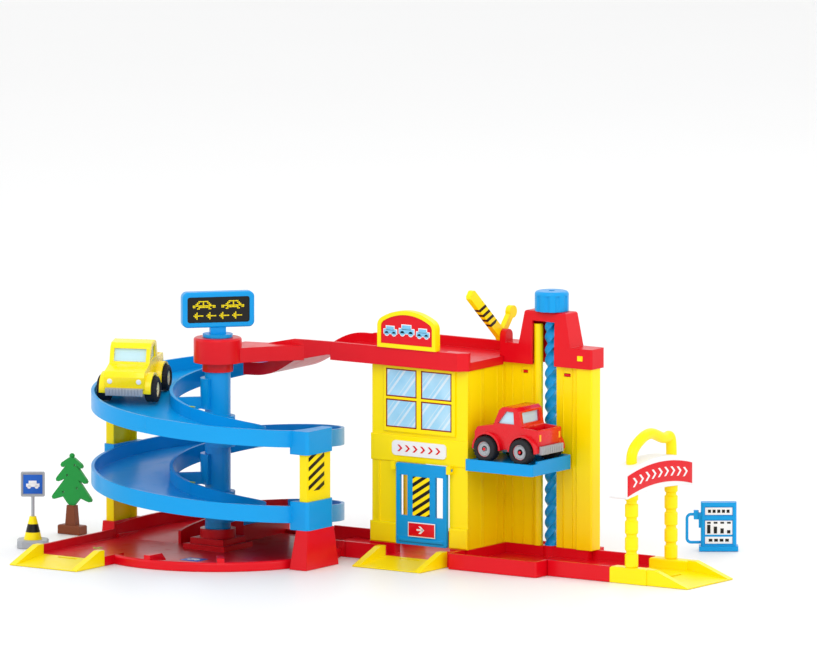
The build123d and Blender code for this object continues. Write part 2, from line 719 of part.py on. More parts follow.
def bridge_surface(offset0, offset1):
    """Side view of the bridge between two heights above its floor, as one face."""
    x0, x1 = 0.0, deck_x0
    z0, z1 = bridge_end_z, deck_floor_z
    flat = 14.0
    low = [(x0, 0, z0 + offset0), (x0 + flat, 0, z0 + offset0)]
    high = [(x1 - flat, 0, z1 + offset0), (x1, 0, z1 + offset0)]
    lower = Polyline(*low) + Spline(low[1], high[0], tangents=((1, 0, 0), (1, 0, 0))) + Polyline(*high)
    top_low = [(x0, 0, z0 + offset1), (x0 + flat, 0, z0 + offset1)]
    top_high = [(x1 - flat, 0, z1 + offset1), (x1, 0, z1 + offset1)]
    upper = Polyline(*top_low) + Spline(top_low[1], top_high[0], tangents=((1, 0, 0), (1, 0, 0)))
    upper = upper + Polyline(*top_high)
    ends = Line(low[0], top_low[0]) + Line(high[1], top_high[1])
    return make_face(lower + upper + ends)


def bridge():
    """Curved bridge from the deck down to the start of the spiral, with the hub on the column."""
    near = [(deck_x0, deck_y0), (78, deck_y0 - 3), (40, deck_y0 - 9), (0, track_inner_r)]
    far = [(0, track_outer_r), (40, track_outer_r + 5), (78, track_outer_r + 14), (deck_x0, build_y1 - 30)]
    reach = build_y1
    floor = extrude(bridge_surface(-bridge_floor_t, 0), amount=reach, dir=(0, 1, 0))
    floor = floor & plan_prism(near[::-1] + far[::-1], 0, 400)
    rail_w = deck_rail_t
    near_strip = plan_prism(near + [(x, y + rail_w) for x, y in near[::-1]], 0, 400)
    far_strip = plan_prism(far + [(x, y - rail_w) for x, y in far[::-1]], 0, 400)
    wall = extrude(bridge_surface(-bridge_floor_t, bridge_rail_h), amount=reach, dir=(0, 1, 0))
    shoulder = [
        (0, hub_z0 - 4), (0, hub_z1 - 12), (30, hub_z1 - 12), (64, deck_edge_z1), (deck_x0, deck_edge_z1),
        (deck_x0, deck_floor_z - 3), (60, hub_z0 - 2),
    ]
    near_rail = (wall + side_prism(shoulder, 0, reach)) & near_strip
    deck = floor + near_rail + (wall & far_strip)
    arm = [(0, 24), (22, 12), (27, 4), (50, 38), (78, deck_y0 - 3), (40, deck_y0 - 7), (0, track_inner_r + 2)]
    arm = plan_prism(arm, hub_z0, hub_z1 - 12)
    hub = rod(hub_r, hub_z0, hub_z1)
    hub = fillet(hub.edges().group_by(Axis.Z)[-1], 3.0)
    hub = hub + rod(hub_collar_r, hub_collar_z, hub_z0 + 1)
    whole = deck + arm + hub
    whole = whole - rod(column_r + fit_gap, 0, column_top_z)
    return whole - rod(sign_pin_r + fit_gap, column_top_z + 2, hub_z1 + 1)


# ------------------------------------------------------------------ lift
def tower_head():
    """Red cap on the tower: band, tapered head with the front slot, clips into the tower wall."""
    band = block(tower_x0, tower_x1 + 1.5, head_y0, head_y1, band_z0, band_z1)
    band = fillet(upright_edges(band).sort_by(Axis.X)[-2:], 3.0)
    mid = screw_x - 2.0
    foot = Pos(mid, head_mid_y, band_z1 - 0.01) * Rectangle(head_foot_w, head_depth)
    crown = Pos(mid, head_mid_y, head_top_z) * Rectangle(head_crown_w, head_depth - 3)
    head = loft([foot.face(), crown.face()], ruled=True)
    head = fillet(head.edges().group_by(Axis.Z)[-1], 3.0)
    shell = band + head
    inner_band = block(tower_x0 + head_wall, tower_x1 + 1.5 - head_wall, head_y0 + head_wall,
                       head_y1 - head_wall, band_z0 - 1, band_z1 - head_wall)
    inner_foot = Pos(mid, head_mid_y, band_z1 - 2 * head_wall) * Rectangle(
        head_foot_w - 2 * head_wall, head_depth - 2 * head_wall)
    inner_crown = Pos(mid, head_mid_y, head_top_z - 8.0) * Rectangle(
        head_crown_w - 2 * head_wall, head_depth - 3 - 2 * head_wall)
    shell = shell - inner_band - loft([inner_foot.face(), inner_crown.face()], ruled=True)
    front_slot = block(screw_x - 20, screw_x + 12, head_y0 - 1, head_y0 + 6, band_z0 - 1, head_top_z - 12)
    shell = shell - front_slot - rod(screw_r + fit_gap, 0, 400, screw_x, screw_y)
    # clips behind the tower wall, their catches through its two holes
    stem_y0 = tower_y + tower_wall_t + running_gap
    for x in (screw_x - 39.0, screw_x + 22.0):
        stem = block(x + 0.1, x + 8.9, stem_y0, stem_y0 + 3.0, band_z0 - 12.0, band_z0 + 3)
        catch = block(x + 0.3, x + 8.7, tower_y - 0.6, stem_y0 + 1.0, band_z0 - 11.5, band_z0 - 8.5)
        shell = shell + stem + catch
    # bars that stand on the top of the tower wall
    inner = tower_x1 + 1.5 - head_wall
    rest_bar = block(screw_x + 14, inner + 1, tower_y - 3, tower_y + 7, band_z0, band_z0 + 3)
    left_bar = block(tower_x0 + 1, screw_x - 23, tower_y - 3, tower_y + 7, band_z0, band_z0 + 3)
    shell = shell + rest_bar + left_bar
    # half-round cheek that carries the barrier
    cheek = block(tower_x0, tower_x0 + 8, barrier_y - 8, barrier_y + 8, band_z1 - 1, barrier_z)
    cheek = cheek + rod_x(8.0, tower_x0, tower_x0 + 8, barrier_y, barrier_z)
    shell = shell + cheek - rod_x(barrier_pin_r + fit_gap, tower_x0 - 1, tower_x0 + 7, barrier_y, barrier_z)
    return shell


def lift_screw():
    """Long twisted bar with a round journal at both ends and a square top for the knob."""
    z0 = screw_z0 + running_gap
    blade_z0 = screw_z0 + 8.0
    length = screw_journal_z - blade_z0
    wire = Wire.make_rect(screw_blade_w, screw_blade_t)
    blade = Solid.extrude_linear_with_rotation(wire, (0, 0, 0), (0, 0, length), 360 * length / screw_pitch)
    bar = Pos(screw_x, screw_y, blade_z0) * blade
    bar = bar + rod(screw_r, z0, blade_z0, screw_x, screw_y)
    bar = bar + rod(screw_r, screw_journal_z, head_top_z + 2, screw_x, screw_y)
    square = block(screw_x - 4, screw_x + 4, screw_y - 4, screw_y + 4, head_top_z + 1, head_top_z + 14)
    bar = bar + square
    return bar - rod(screw_shank_r, head_top_z + 1, head_top_z + 20, screw_x, screw_y)


def lift_knob():
    """Round knob with grip flutes, square socket below and a screw seat on top."""
    z0 = head_top_z + running_gap
    z1 = z0 + knob_h
    knob = rod(knob_r, z0, z1, screw_x, screw_y)
    knob = fillet(knob.edges().group_by(Axis.Z)[-1], 4.0)
    for number in range(knob_grips):
        flute = rod(4.0, z0 - 1, z1 - 5, knob_r + 2.6, 0)
        knob = knob - Pos(screw_x, screw_y, 0) * Rot(0, 0, 360 * number / knob_grips) * flute
    half = 4.0 + fit_gap
    socket = block(screw_x - half, screw_x + half, screw_y - half, screw_y + half, 0, head_top_z + 14.2)
    neck = rod(screw_r + fit_gap, 0, head_top_z + 2.2, screw_x, screw_y)
    seat_hole = rod(screw_head_r + 0.6, z1 - 8, z1 + 1, screw_x, screw_y)
    shank_hole = rod(screw_shank_r + 0.2, 0, z1, screw_x, screw_y)
    return knob - socket - neck - seat_hole - shank_hole


def knob_screw():
    """Screw that holds the knob on the twisted bar."""
    top = head_top_z + running_gap + knob_h - 8.0
    head = rod(screw_head_r, top, top + 2.4, screw_x, screw_y)
    drive = block(-2.4, 2.4, -0.5, 0.5, top + 1.4, top + 3) + block(-0.5, 0.5, -2.4, 2.4, top + 1.4, top + 3)
    shank = rod(screw_shank_r, top - 14.0, top, screw_x, screw_y)
    return head - Pos(screw_x, screw_y, 0) * drive + shank


def lift_platform():
    """Lift plate with a rim, open to the left, and the block that carries the tongue."""
    z1 = platform_floor_z
    z0 = z1 - platform_t
    plate = block(platform_x0, platform_x1, platform_y0, platform_y1, z0, z1)
    plate = fillet(upright_edges(plate), 3.0)
    hollow = block(platform_x0 + skin, platform_x1 - skin, platform_y0 + skin, platform_y1 - skin, z0 - 1, z1 - skin)
    plate = plate - hollow
    for x in (platform_x0 + 32, platform_x0 + 65):
        plate = plate + block(x - 1, x + 1, platform_y0 + 1, platform_y1 - 1, z0 + 1, z1 - 1)
    rim = block(platform_x0, platform_x1, platform_y0, platform_y1, z1 - 1, z1 + platform_rim_h)
    rim = fillet(upright_edges(rim), 3.0)
    rim = rim - block(platform_x0 - 1, platform_x1 - skin, platform_y0 + skin, platform_y1 - skin, z1 - 2, z1 + 9)
    rim = rim - block(platform_x0 - 1, platform_x1 + 1, platform_y0 - 1, platform_y0 + 12, z1 + 2, z1 + 9)
    carrier = block(screw_x - 18, screw_x + 18, platform_y1 - 4, platform_y1, z1 - 1, nut_z0 + nut_h)
    carrier = chamfer(carrier.edges().group_by(Axis.Z)[-1].group_by(Axis.Y)[0], 3.0)
    return plate + rim + carrier


def lift_nut():
    """Nut on the twisted bar, with the tongue through the slot of the tower wall."""
    z0, z1 = nut_z0, nut_z0 + nut_h
    tongue = block(screw_x - tongue_w / 2, screw_x + tongue_w / 2, platform_y1, screw_y, z0, z1)
    nut = tongue + rod(nut_r, z0, z1, screw_x, screw_y)
    side = tongue_w / 2
    for sign in (-1, 1):
        relief = block(screw_x + sign * (side + 5) - 5, screw_x + sign * (side + 5) + 5, 150,
                       tower_y + tower_wall_t + running_gap, 0, 400)
        nut = nut - relief
    return nut - rod(screw_r + running_gap, 0, 400, screw_x, screw_y)


# ------------------------------------------------------------------ gate
def gate_posts():
    """Two scalloped posts that stand in the feet of the gate base."""
    posts = []
    x = right_track_x1 + gate_flat_len / 2
    half = gate_post_w / 2
    for y in (right_track_y0 + half, right_track_y1 - half):
        post = rod(half - 1.6, tray_wall_h, gate_board_z + 12, x, y)
        rings = int((gate_board_z - tray_wall_h) / gate_post_step)
        for number in range(rings + 1):
            z = tray_wall_h + gate_post_step * number
            drum = rod(half, z, min(z + gate_post_step - 3.5, gate_board_z + 10), x, y)
            post = post + chamfer(drum.edges().filter_by(GeomType.CIRCLE), 1.2)
        posts.append(post - gate_board_solid())
    return posts


def gate_board_solid():
    """Arched board across the gate."""
    half = gate_board_w / 2
    x0 = right_track_x1 + gate_flat_len / 2 - gate_board_t / 2
    z0, z1 = gate_board_z, gate_board_z + gate_board_h
    low = ThreePointArc((x0, gate_y - half, z0), (x0, gate_y, z0 + gate_board_rise), (x0, gate_y + half, z0))
    high = ThreePointArc((x0, gate_y - half, z1), (x0, gate_y, z1 + gate_board_crown), (x0, gate_y + half, z1))
    ends = Line(low @ 0, high @ 0) + Line(low @ 1, high @ 1)
    board = extrude(make_face(low + high + ends), amount=gate_board_t, dir=(1, 0, 0))
    return fillet(board.edges().filter_by(Axis.X), 4.0)


def gate_hoop():
    """Round hoop on top of the board."""
    x = right_track_x1 + gate_flat_len / 2
    leg_z = gate_board_z + gate_board_h + 3.0
    z = leg_z + 7.0
    y0, y1 = gate_y - gate_hoop_half, gate_y + gate_hoop_half
    side = gate_hoop_half * math.sqrt(0.5)
    shoulder = z + gate_hoop_rise * math.sqrt(0.5)
    crown = [(x, y0, z), (x, gate_y - side, shoulder), (x, gate_y, z + gate_hoop_rise), (x, gate_y + side, shoulder), (x, y1, z)]
    arch = Spline(*crown, tangents=[(0, 0, 1), (0, 0, -1)])
    path = Line((x, y0, leg_z), (x, y0, z)) + arch + Line((x, y1, z), (x, y1, leg_z))
    hoop = sweep(Pos(x, y0, leg_z) * Circle(gate_hoop_wire), path=path)
    return hoop - gate_board_solid()


# ------------------------------------------------------------------ signs and door flap
def exit_sign():
    """Swivelling sign: rounded frame, stem, disc and the pin in the hub."""
    z0 = hub_z1 + running_gap
    disc = rod(18.0, z0, z0 + 4.0)
    pin = rod(sign_pin_r, z0 - 12.0, z0 + 1.0)
    sign_z = z0 + 12.0 + sign_h / 2
    frame = Pos(0, -sign_t / 2, sign_z) * rounded_plate(sign_w, sign_h, 7.0, sign_t)
    frame = fillet(frame.edges().group_by(Axis.Y)[0], 2.0)
    recess = Pos(0, -sign_t / 2 - 1, sign_z) * rounded_plate(sign_w - 12, sign_h - 12, 3.0, 3.0)
    stem = block(-9.5, 9.5, -4, 4, z0 + 2, sign_z - sign_h / 2 + 1)
    return Rot(0, 0, sign_turn) * (disc + pin + stem + (frame - recess))


def exit_sign_panel():
    """Dark panel in the recess of the sign."""
    z0 = hub_z1 + running_gap
    sign_z = z0 + 12.0 + sign_h / 2
    inner_w, inner_h = sign_w - 12.2, sign_h - 12.2
    panel = Pos(0, -sign_t / 2 + 1.2, sign_z) * rounded_plate(inner_w, inner_h, 2.9, 0.8)
    return Rot(0, 0, sign_turn) * panel


def arch_face(margin):
    """Outline of the roof sign with straight sides, round shoulders and an arched top, set in by a margin."""
    half = arch_w / 2 - margin
    body = Pos(0, margin + arch_h / 2) * Rectangle(2 * half, arch_h)
    body = body & Pos(0, arch_h - arch_r) * Circle(arch_r - margin)
    return fillet(body.vertices().group_by(Axis.Y)[-1], 12.0 - 0.8 * margin)


def arch_plate(margin, thickness):
    """Arched plate standing in X and Z, its front on y = 0."""
    plate = extrude(arch_face(margin), amount=thickness)
    return Pos(0, thickness, 0) * Rot(90, 0, 0) * plate


def arch_sign():
    """Yellow frame of the roof sign, on the front rail of the deck."""
    y0 = deck_y0 - 3.0
    frame = arch_plate(0.0, arch_t) - Pos(0, -1, 0) * arch_plate(5.0, 3.0)
    frame = Pos(arch_x, y0, deck_edge_z1) * frame
    return frame


def arch_panel():
    """Red panel in the recess of the roof sign."""
    y0 = deck_y0 - 3.0
    return Pos(arch_x, y0 + 1.0, deck_edge_z1) * arch_plate(5.1, 1.0)


def door_flap():
    """Blue flap hung on two stubs at its top, with two slots beside the middle panel."""
    half = door_w / 2
    y_mid = build_y0 - 4.0
    z0 = tray_wall_h + 0.6
    flap = block(door_x - half, door_x + half, y_mid - door_t / 2, y_mid + door_t / 2, z0, door_top_z)
    flap = fillet(flap.edges().filter_by(Axis.Y), 2.0)
    for x0 in (door_x - half + 5.5, door_x + half - 16.5):
        flap = flap - block(x0, x0 + 11.0, y_mid - 9, y_mid + 9, z0 + 35.0, z0 + 84.0)
    sill = block(door_x - half + 4, door_x + half - 4, y_mid - door_t / 2 - 1.5, y_mid, z0 + 3, z0 + 9)
    flap = flap + chamfer(sill.edges().group_by(Axis.Y)[0], 1.4)
    pivot = rod_x(2.0, door_x - half - 6.0, door_x + half + 6.0, y_mid, door_pivot_z)
    return flap + pivot


def door_panel():
    """Striped panel on the middle of the flap."""
    y0 = build_y0 - 4.0 - door_t / 2
    z0 = tray_wall_h + 0.6 + 36.0
    return block(door_x - 12.0, door_x + 12.0, y0 - 0.8, y0, z0, z0 + 47.0)


# ------------------------------------------------------------------ barrier
def barrier_arm():
    """Barrier with its striped arm, tail with a round end, and the pivot stub."""
    x0, x1 = barrier_x - barrier_t / 2, barrier_x + barrier_t / 2
    half = barrier_h / 2
    arm = block(x0, x1, barrier_y - barrier_len, barrier_y, barrier_z - half, barrier_z + half)
    arm = chamfer(arm.edges().filter_by(Axis.X).sort_by(Axis.Y)[:2], 2.5)
    hub = rod_x(half + 1.0, x0, x1, barrier_y, barrier_z)
    tail = block(x0, x1, barrier_y - 4.0, barrier_y + 4.0, barrier_z, barrier_z + barrier_tail - 6.0)
    knob = rod_x(7.5, x0, x1, barrier_y, barrier_z + barrier_tail - 7.5)
    pin = rod_x(barrier_pin_r, x1 - 1, tower_x0 + 6.5, barrier_y, barrier_z)
    arm = arm + hub + tail + knob + pin
    turn = Pos(0, barrier_y, barrier_z) * Rot(-barrier_rest, 0, 0) * Pos(0, -barrier_y, -barrier_z)
    return turn * arm


# ------------------------------------------------------------------ trucks
def truck_body():
    """Pickup shell, nose towards +X, wheels on z = 0."""
    half = cabin_w / 2
    side = [
        (-45, 22), (-45, 41), (-20, 43), (-17, 62), (-12, 66), (6, 66), (11, 62), (19, 44), (42, 40),
        (46, 34), (46, 20), (36, 15), (-38, 15),
    ]
    body = side_prism(side, -half, half)
    body = fillet(body.edges().filter_by(Axis.Y).filter_by(lambda e: e.center().Z > 33), 2.0)
    for sign in (-1, 1):
        for x in (-wheel_base / 2, wheel_base / 2):
            arch = rod_y(wheel_r + 5.0, sign * half - 8, sign * half + 8, x, wheel_r)
            arch = arch & block(-60, 60, -half - 7, half + 7, wheel_r - 1, 60)
            body = body + arch
    for x in (-wheel_base / 2, wheel_base / 2):
        for sign in (-1, 1):
            y0, y1 = sorted((sign * (half - 8.0), sign * 60))
            body = body - rod_y(wheel_r + 2.5, y0, y1, x, wheel_r)
    bed = block(-42.5, -23.0, -half + 3, half - 3, 29, 60)
    body = body - bed
    cavity = side_prism(cabin_outline(0.0), -half + 2.5, half - 2.5)
    body = body - cavity - block(-42, 43, -17.4, 17.4, 0, 20.0)
    for opening in truck_windows():
        body = body - opening
    return body


def cabin_outline(margin):
    """Inside of the cab in X and Z, set in by a margin."""
    low, high = 2 * wheel_r + 1.0 + margin, 62 - margin
    return [
        (-17 + margin, low), (-14.5 + margin, high), (7.5 - margin, high), (16 - margin, 42), (16 - margin, low),
    ]


def truck_windows():
    """Cutters for the side windows, the windscreen and the rear window."""
    half = cabin_w / 2
    side_window = [(-10.5, 46), (-9.5, 61), (1.0, 61), (13.2, 46)]
    cutters = [side_prism(side_window, -half - 9, half + 9)]
    screen = [(8, 45.5), (8, 60.5), (16, 60.5), (24, 45.5)]
    cutters.append(side_prism(screen, -half + 5, half - 5))
    rear = [(-24, 47), (-22, 60), (-8, 60), (-8, 47)]
    cutters.append(side_prism(rear, -half + 7, half - 7))
    return cutters


def truck_glazing():
    """Clear block inside the cab that shows in every window."""
    half = cabin_w / 2 - 2.5 - 0.15
    return side_prism(cabin_outline(0.15), -half, half)


def truck_chassis():
    """Grey floor with both bumpers and the axle bearings."""
    floor = block(-41.5, 42.5, -17, 17, 11, 19.85)
    floor = floor + block(46.3, 50.0, -23, 23, 12, 21) + block(30, 47, -15, 15, 12, 14.8)
    floor = floor + block(-49.5, -45.8, -23, 23, 12, 22) + block(-47, -30, -15, 15, 12, 14.8)
    for x in (-wheel_base / 2, wheel_base / 2):
        floor = floor - rod_y(axle_r + fit_gap, -20, 20, x, wheel_r)
    for x in truck_screw_places():
        floor = floor - rod(screw_head_r + 0.1, 0, 14.0, x, 0) - rod(screw_shank_r + 0.1, 0, 30, x, 0)
    return floor


def truck_screw_places():
    """Places of the two chassis screws."""
    return (-10.0, 10.0)


def truck_screws():
    """Two screws that hold the chassis to the body."""
    screws = []
    for x in truck_screw_places():
        screws.append(rod(screw_head_r, 11.8, 13.9, x, 0) + rod(screw_shank_r, 13.8, 19.8, x, 0))
    return Compound(children=screws)


def truck_rims(x):
    """Two rims on their axle."""
    hub_y = truck_w / 2 - wheel_w
    shape = rod_y(axle_r, -hub_y - 2, hub_y + 2, x, wheel_r)
    for sign in (-1, 1):
        y0, y1 = sorted((sign * hub_y, sign * (truck_w / 2 - 2.0)))
        rim = rod_y(rim_r, y0, y1, x, wheel_r)
        dish = rod_y(rim_r - 2.0, *sorted((sign * (truck_w / 2 - 4.0), sign * 60)), x, wheel_r)
        boss = rod_y(2.6, *sorted((sign * (truck_w / 2 - 5.0), sign * (truck_w / 2 - 2.5))), x, wheel_r)
        shape = shape + (rim - dish) + boss
    return shape


def truck_tyres(x):
    """Two tyres of one axle."""
    hub_y = truck_w / 2 - wheel_w
    tyres = []
    for sign in (-1, 1):
        y0, y1 = sorted((sign * hub_y, sign * truck_w / 2))
        tyre = rod_y(wheel_r, y0, y1, x, wheel_r)
        tyre = fillet(tyre.edges().filter_by(GeomType.CIRCLE), 3.0)
        tyres.append(tyre - rod_y(rim_r, y0 - 1, y1 + 1, x, wheel_r))
    return Compound(children=tyres)


def red_truck_place():
    """The red truck stands on the lift platform, nose to the left."""
    return Pos(red_truck_x, red_truck_y, platform_floor_z + running_gap) * Rot(0, 0, 180)


def yellow_truck_place():
    """The yellow truck is on its way down the upper loop."""
    turn = math.radians(yellow_truck_turn)
    slope = math.degrees(math.atan(turn_drop / (2 * math.pi * track_mid_r)))
    z = track_z(yellow_truck_turn) + track_floor_t + yellow_truck_lift
    place = Pos(track_mid_r * math.cos(turn), track_mid_r * math.sin(turn), z)
    return place * Rot(0, 0, yellow_truck_turn + 90) * Rot(0, slope, 0)


def truck_nodes(colour, place):
    """All nodes of one truck, moved to its place."""
    front, rear = wheel_base / 2, -wheel_base / 2
    pieces = {
        "body": truck_body(), "windows": truck_glazing(), "chassis": truck_chassis(),
        "screws": truck_screws(),
        "front_rims": truck_rims(front), "front_tyres": truck_tyres(front),
        "rear_rims": truck_rims(rear), "rear_tyres": truck_tyres(rear),
    }
    return {colour + "_truck_" + name: place * piece for name, piece in pieces.items()}


# ------------------------------------------------------------------ loose accessories
def tree_foliage():
    """Flat fir tree in three drooping tiers, with a ball on top and a tab in the trunk."""
    z = 33.0
    right = [(5.0, z + 3.0)]
    for width, tip_z in ((29.0, 42.0), (23.0, 64.0), (16.0, 82.0)):
        right.append((width * 0.43, tip_z + 2.5))
        right += [(width - 4.0, tip_z - 1.5), (width - 1.0, tip_z - 1.2), (width, tip_z + 1.2), (width - 1.6, tip_z + 4.0)]
    right.append((3.5, 93.0))
    left = [(-x, height) for x, height in reversed(right)]
    plate = side_prism(right + left, -2.0, 2.0)
    for x, height in ((-12, 50), (8, 56), (-6, 71), (5, 84)):
        plate = plate - rod_y(1.5, -5, 5, x, height)
    ball = Pos(0, 0, 95.0) * Sphere(3.4)
    tab = block(-4.0, 4.0, -2.0, 2.0, z - 6.0, z + 6.0)
    return Pos(tree_x, tree_y, 0) * (plate + ball + tab)


def tree_stand():
    """Trunk and box foot of the tree."""
    foot = block(-16.0, 16.0, -8.0, 8.0, 0, 11.0)
    foot = fillet(foot.edges().group_by(Axis.Z)[-1], 2.0)
    trunk = loft([
        (Pos(0, 0, 10.9) * Rectangle(15.0, 9.0)).face(),
        (Pos(0, 0, 35.0) * Rectangle(11.0, 8.0)).face(),
    ], ruled=True)
    slot = block(-4.0 - fit_gap, 4.0 + fit_gap, -2.0 - fit_gap, 2.0 + fit_gap, 27.0 - fit_gap, 40.0)
    return Pos(tree_x, tree_y, 0) * (foot + trunk - slot)


def cone_place():
    """The cone sign is turned towards the viewer."""
    return Pos(cone_x, cone_y, 0) * Rot(0, 0, view_turn)


def cone_base():
    """Grey square foot of the cone sign."""
    foot = block(-19.0, 19.0, -19.0, 19.0, 0, 9.0)
    foot = chamfer(upright_edges(foot), 6.0)
    return cone_place() * chamfer(foot.edges().group_by(Axis.Z)[-1], 2.0)


def cone_body():
    """Striped cone."""
    body = cone_up(11.0, 4.0, 9.0, cone_top_z)
    return cone_place() * (body - rod(2.0 + fit_gap, cone_top_z - 7.0, cone_top_z + 3.0))


def cone_sign():
    """Pole and framed plate."""
    pole = rod(2.0, cone_top_z - 6.9, cone_sign_z - 14.0)
    plate = Pos(0, -2.0, cone_sign_z) * rounded_plate(29.0, 30.0, 2.0, 4.0)
    recess = Pos(0, -3.0, cone_sign_z) * rounded_plate(25.0, 26.0, 1.0, 1.8)
    return cone_place() * (pole + (plate - recess))


def fuel_pump():
    """Pump body with a stepped front."""
    body = block(-21.5, 21.5, -7.0, 7.0, 0, 59.0)
    body = fillet(upright_edges(body), 3.0)
    body = body + block(-23.5, 23.5, -9.0, 9.0, 0, 6.0)
    body = body - block(-17.0, 17.0, -8.0, -5.8, 43.0, 54.0)
    body = body - block(-17.0, 17.0, -8.0, -5.8, 8.0, 38.0)
    body = body + block(-24.0, -21.0, -4.0, 4.0, 28.0, 46.0)
    return Pos(pump_x, pump_y, 0) * Rot(0, 0, view_turn) * body


def pump_hose():
    """Stiff moulded hose from the foot of the pump up to its nozzle."""
    route = [(-21.5, 0, 10), (-38, 0, 10), (-38, 0, 44), (-24.0, 0, 44)]
    path = FilletPolyline(*route, radius=5.0)
    end = Plane(origin=route[0], z_dir=(-1, 0, 0))
    hose = sweep((end * Circle(1.8)), path=path)
    nozzle = block(-30.0, -24.0, -3.0, 3.0, 38.0, 49.0)
    return Pos(pump_x, pump_y, 0) * Rot(0, 0, view_turn) * (hose + nozzle)


# ------------------------------------------------------------------ all nodes
def all_nodes():
    """Every node of the toy by name."""
    nodes = {}
    for index, name in enumerate(("upper_left", "upper_right", "lower_left", "lower_right")):
        nodes["track_" + name] = track_segment(index)
    nodes["spiral_base"] = spiral_base()
    nodes["track_pillars"] = Compound(children=[
        pillar(1, right_low_z, right_high_z),
        pillar(-1, left_mid_low_z, left_mid_high_z),
        pillar(-1, left_pedestal_z - 10.0 + fit_gap, left_low_high_z),
    ])
    nodes["spiral_columns"] = Compound(children=[
        column_tube(column_foot_z, column_joint_z, True),
        column_tube(column_joint_z, column_top_z, False),
    ])
    nodes["exit_ramp"] = exit_ramp()
    nodes["front_ramp"] = front_ramp()
    nodes["building_base"] = building_base()
    nodes["lift_tray"] = lift_tray()
    nodes["right_track"] = right_track()
    nodes["gate_base"] = gate_base()
    nodes["front_wall"] = front_wall()
    nodes["left_wall"] = left_wall()
    nodes["right_wall"] = right_wall()
    nodes["tower_wall"] = tower_wall()
    nodes["window_panel"] = window_panel()
    nodes["window_panes"] = window_panes()
    nodes["name_plate"] = name_plate()
    nodes["roof_deck"] = roof_deck()
    nodes["bridge"] = bridge()
    nodes["tower_head"] = tower_head()
    nodes["lift_screw"] = lift_screw()
    nodes["lift_knob"] = lift_knob()
    nodes["knob_screw"] = knob_screw()
    nodes["lift_platform"] = lift_platform()
    nodes["lift_nut"] = lift_nut()
    nodes["gate_frame"] = Compound(children=gate_posts() + [gate_hoop()])
    nodes["gate_board"] = gate_board_solid()
    nodes["exit_sign"] = exit_sign()
    nodes["exit_sign_panel"] = exit_sign_panel()
    nodes["arch_sign"] = arch_sign()
    nodes["arch_panel"] = arch_panel()
    nodes["door_flap"] = door_flap()
    nodes["door_panel"] = door_panel()
    nodes["barrier_arm"] = barrier_arm()
    nodes.update(truck_nodes("red", red_truck_place()))
    nodes.update(truck_nodes("yellow", yellow_truck_place()))
    nodes["tree_foliage"] = tree_foliage()
    nodes["tree_stand"] = tree_stand()
    nodes["cone_base"] = cone_base()
    nodes["cone_body"] = cone_body()
    nodes["cone_sign"] = cone_sign()
    nodes["fuel_pump"] = fuel_pump()
    nodes["pump_hose"] = pump_hose()
    return nodes


if __name__ == "__main__":
    for node, shape in all_nodes().items():
        save(node, shape)
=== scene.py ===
"""Looks of a toy parking garage with a spiral track and a screw lift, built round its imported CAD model.

Every mesh is in metres in the frame of the CAD model. Sizes in the classes are in millimetres.
"""

import logging
import math
from dataclasses import dataclass, field
from enum import Enum
from typing import Callable, Iterable, Optional, Sequence, Union

import bpy
from mathutils import Matrix, Vector

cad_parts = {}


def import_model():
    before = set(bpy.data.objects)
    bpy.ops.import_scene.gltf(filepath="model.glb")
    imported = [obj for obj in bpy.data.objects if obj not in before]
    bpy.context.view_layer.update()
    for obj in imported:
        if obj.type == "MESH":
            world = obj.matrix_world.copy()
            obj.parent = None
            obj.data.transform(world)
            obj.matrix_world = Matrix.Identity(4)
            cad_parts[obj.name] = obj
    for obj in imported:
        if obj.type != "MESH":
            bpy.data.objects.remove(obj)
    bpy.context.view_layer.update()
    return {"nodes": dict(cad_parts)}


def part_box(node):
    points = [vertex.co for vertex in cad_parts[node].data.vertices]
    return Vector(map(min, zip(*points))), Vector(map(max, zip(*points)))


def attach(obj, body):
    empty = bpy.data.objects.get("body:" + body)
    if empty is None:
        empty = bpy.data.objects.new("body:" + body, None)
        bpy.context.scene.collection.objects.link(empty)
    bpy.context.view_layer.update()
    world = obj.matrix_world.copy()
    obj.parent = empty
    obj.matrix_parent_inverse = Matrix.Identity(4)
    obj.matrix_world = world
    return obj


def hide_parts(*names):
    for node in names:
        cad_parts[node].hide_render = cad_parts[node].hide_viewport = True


LOG = logging.getLogger("garage")
MM = 0.001

Colour = tuple[float, float, float]
Point = tuple[float, float, float]
Number = Union[int, float]


class Tone(Enum):
    """Colours of the moulded and printed surfaces, as hexadecimal sRGB."""

    BLUE = "#0098DE"
    RED = "#DC0418"
    YELLOW = "#FFE400"
    WHITE = "#ECEDEF"
    BLACK = "#141210"
    GREY = "#A7ABB0"
    STEEL = "#B9BCC0"
    CREAM = "#F3E9B8"
    GREEN = "#12913A"
    BROWN = "#7A3B1C"
    SKY = "#7CC1E4"
    PALE_BLUE = "#BFE3F5"
    RUBBER = "#26262A"
    AMBER = "#FFB300"
    DARK_RED = "#8E1018"
    LIME = "#B5C92A"
    SIGN_BLUE = "#1C5FC0"

    @property
    def linear(self) -> Colour:
        """The colour as linear red, green and blue."""
        parts = [int(self.value[i : i + 2], 16) / 255 for i in (1, 3, 5)]
        return tuple(p / 12.92 if p <= 0.04045 else ((p + 0.055) / 1.055) ** 2.4 for p in parts)


class Side(Enum):
    """Direction that a print or a knob faces, in the frame of the model."""

    FRONT = (0.0, -1.0, 0.0)
    BACK = (0.0, 1.0, 0.0)
    RIGHT = (1.0, 0.0, 0.0)
    LEFT = (-1.0, 0.0, 0.0)
    UP = (0.0, 0.0, 1.0)


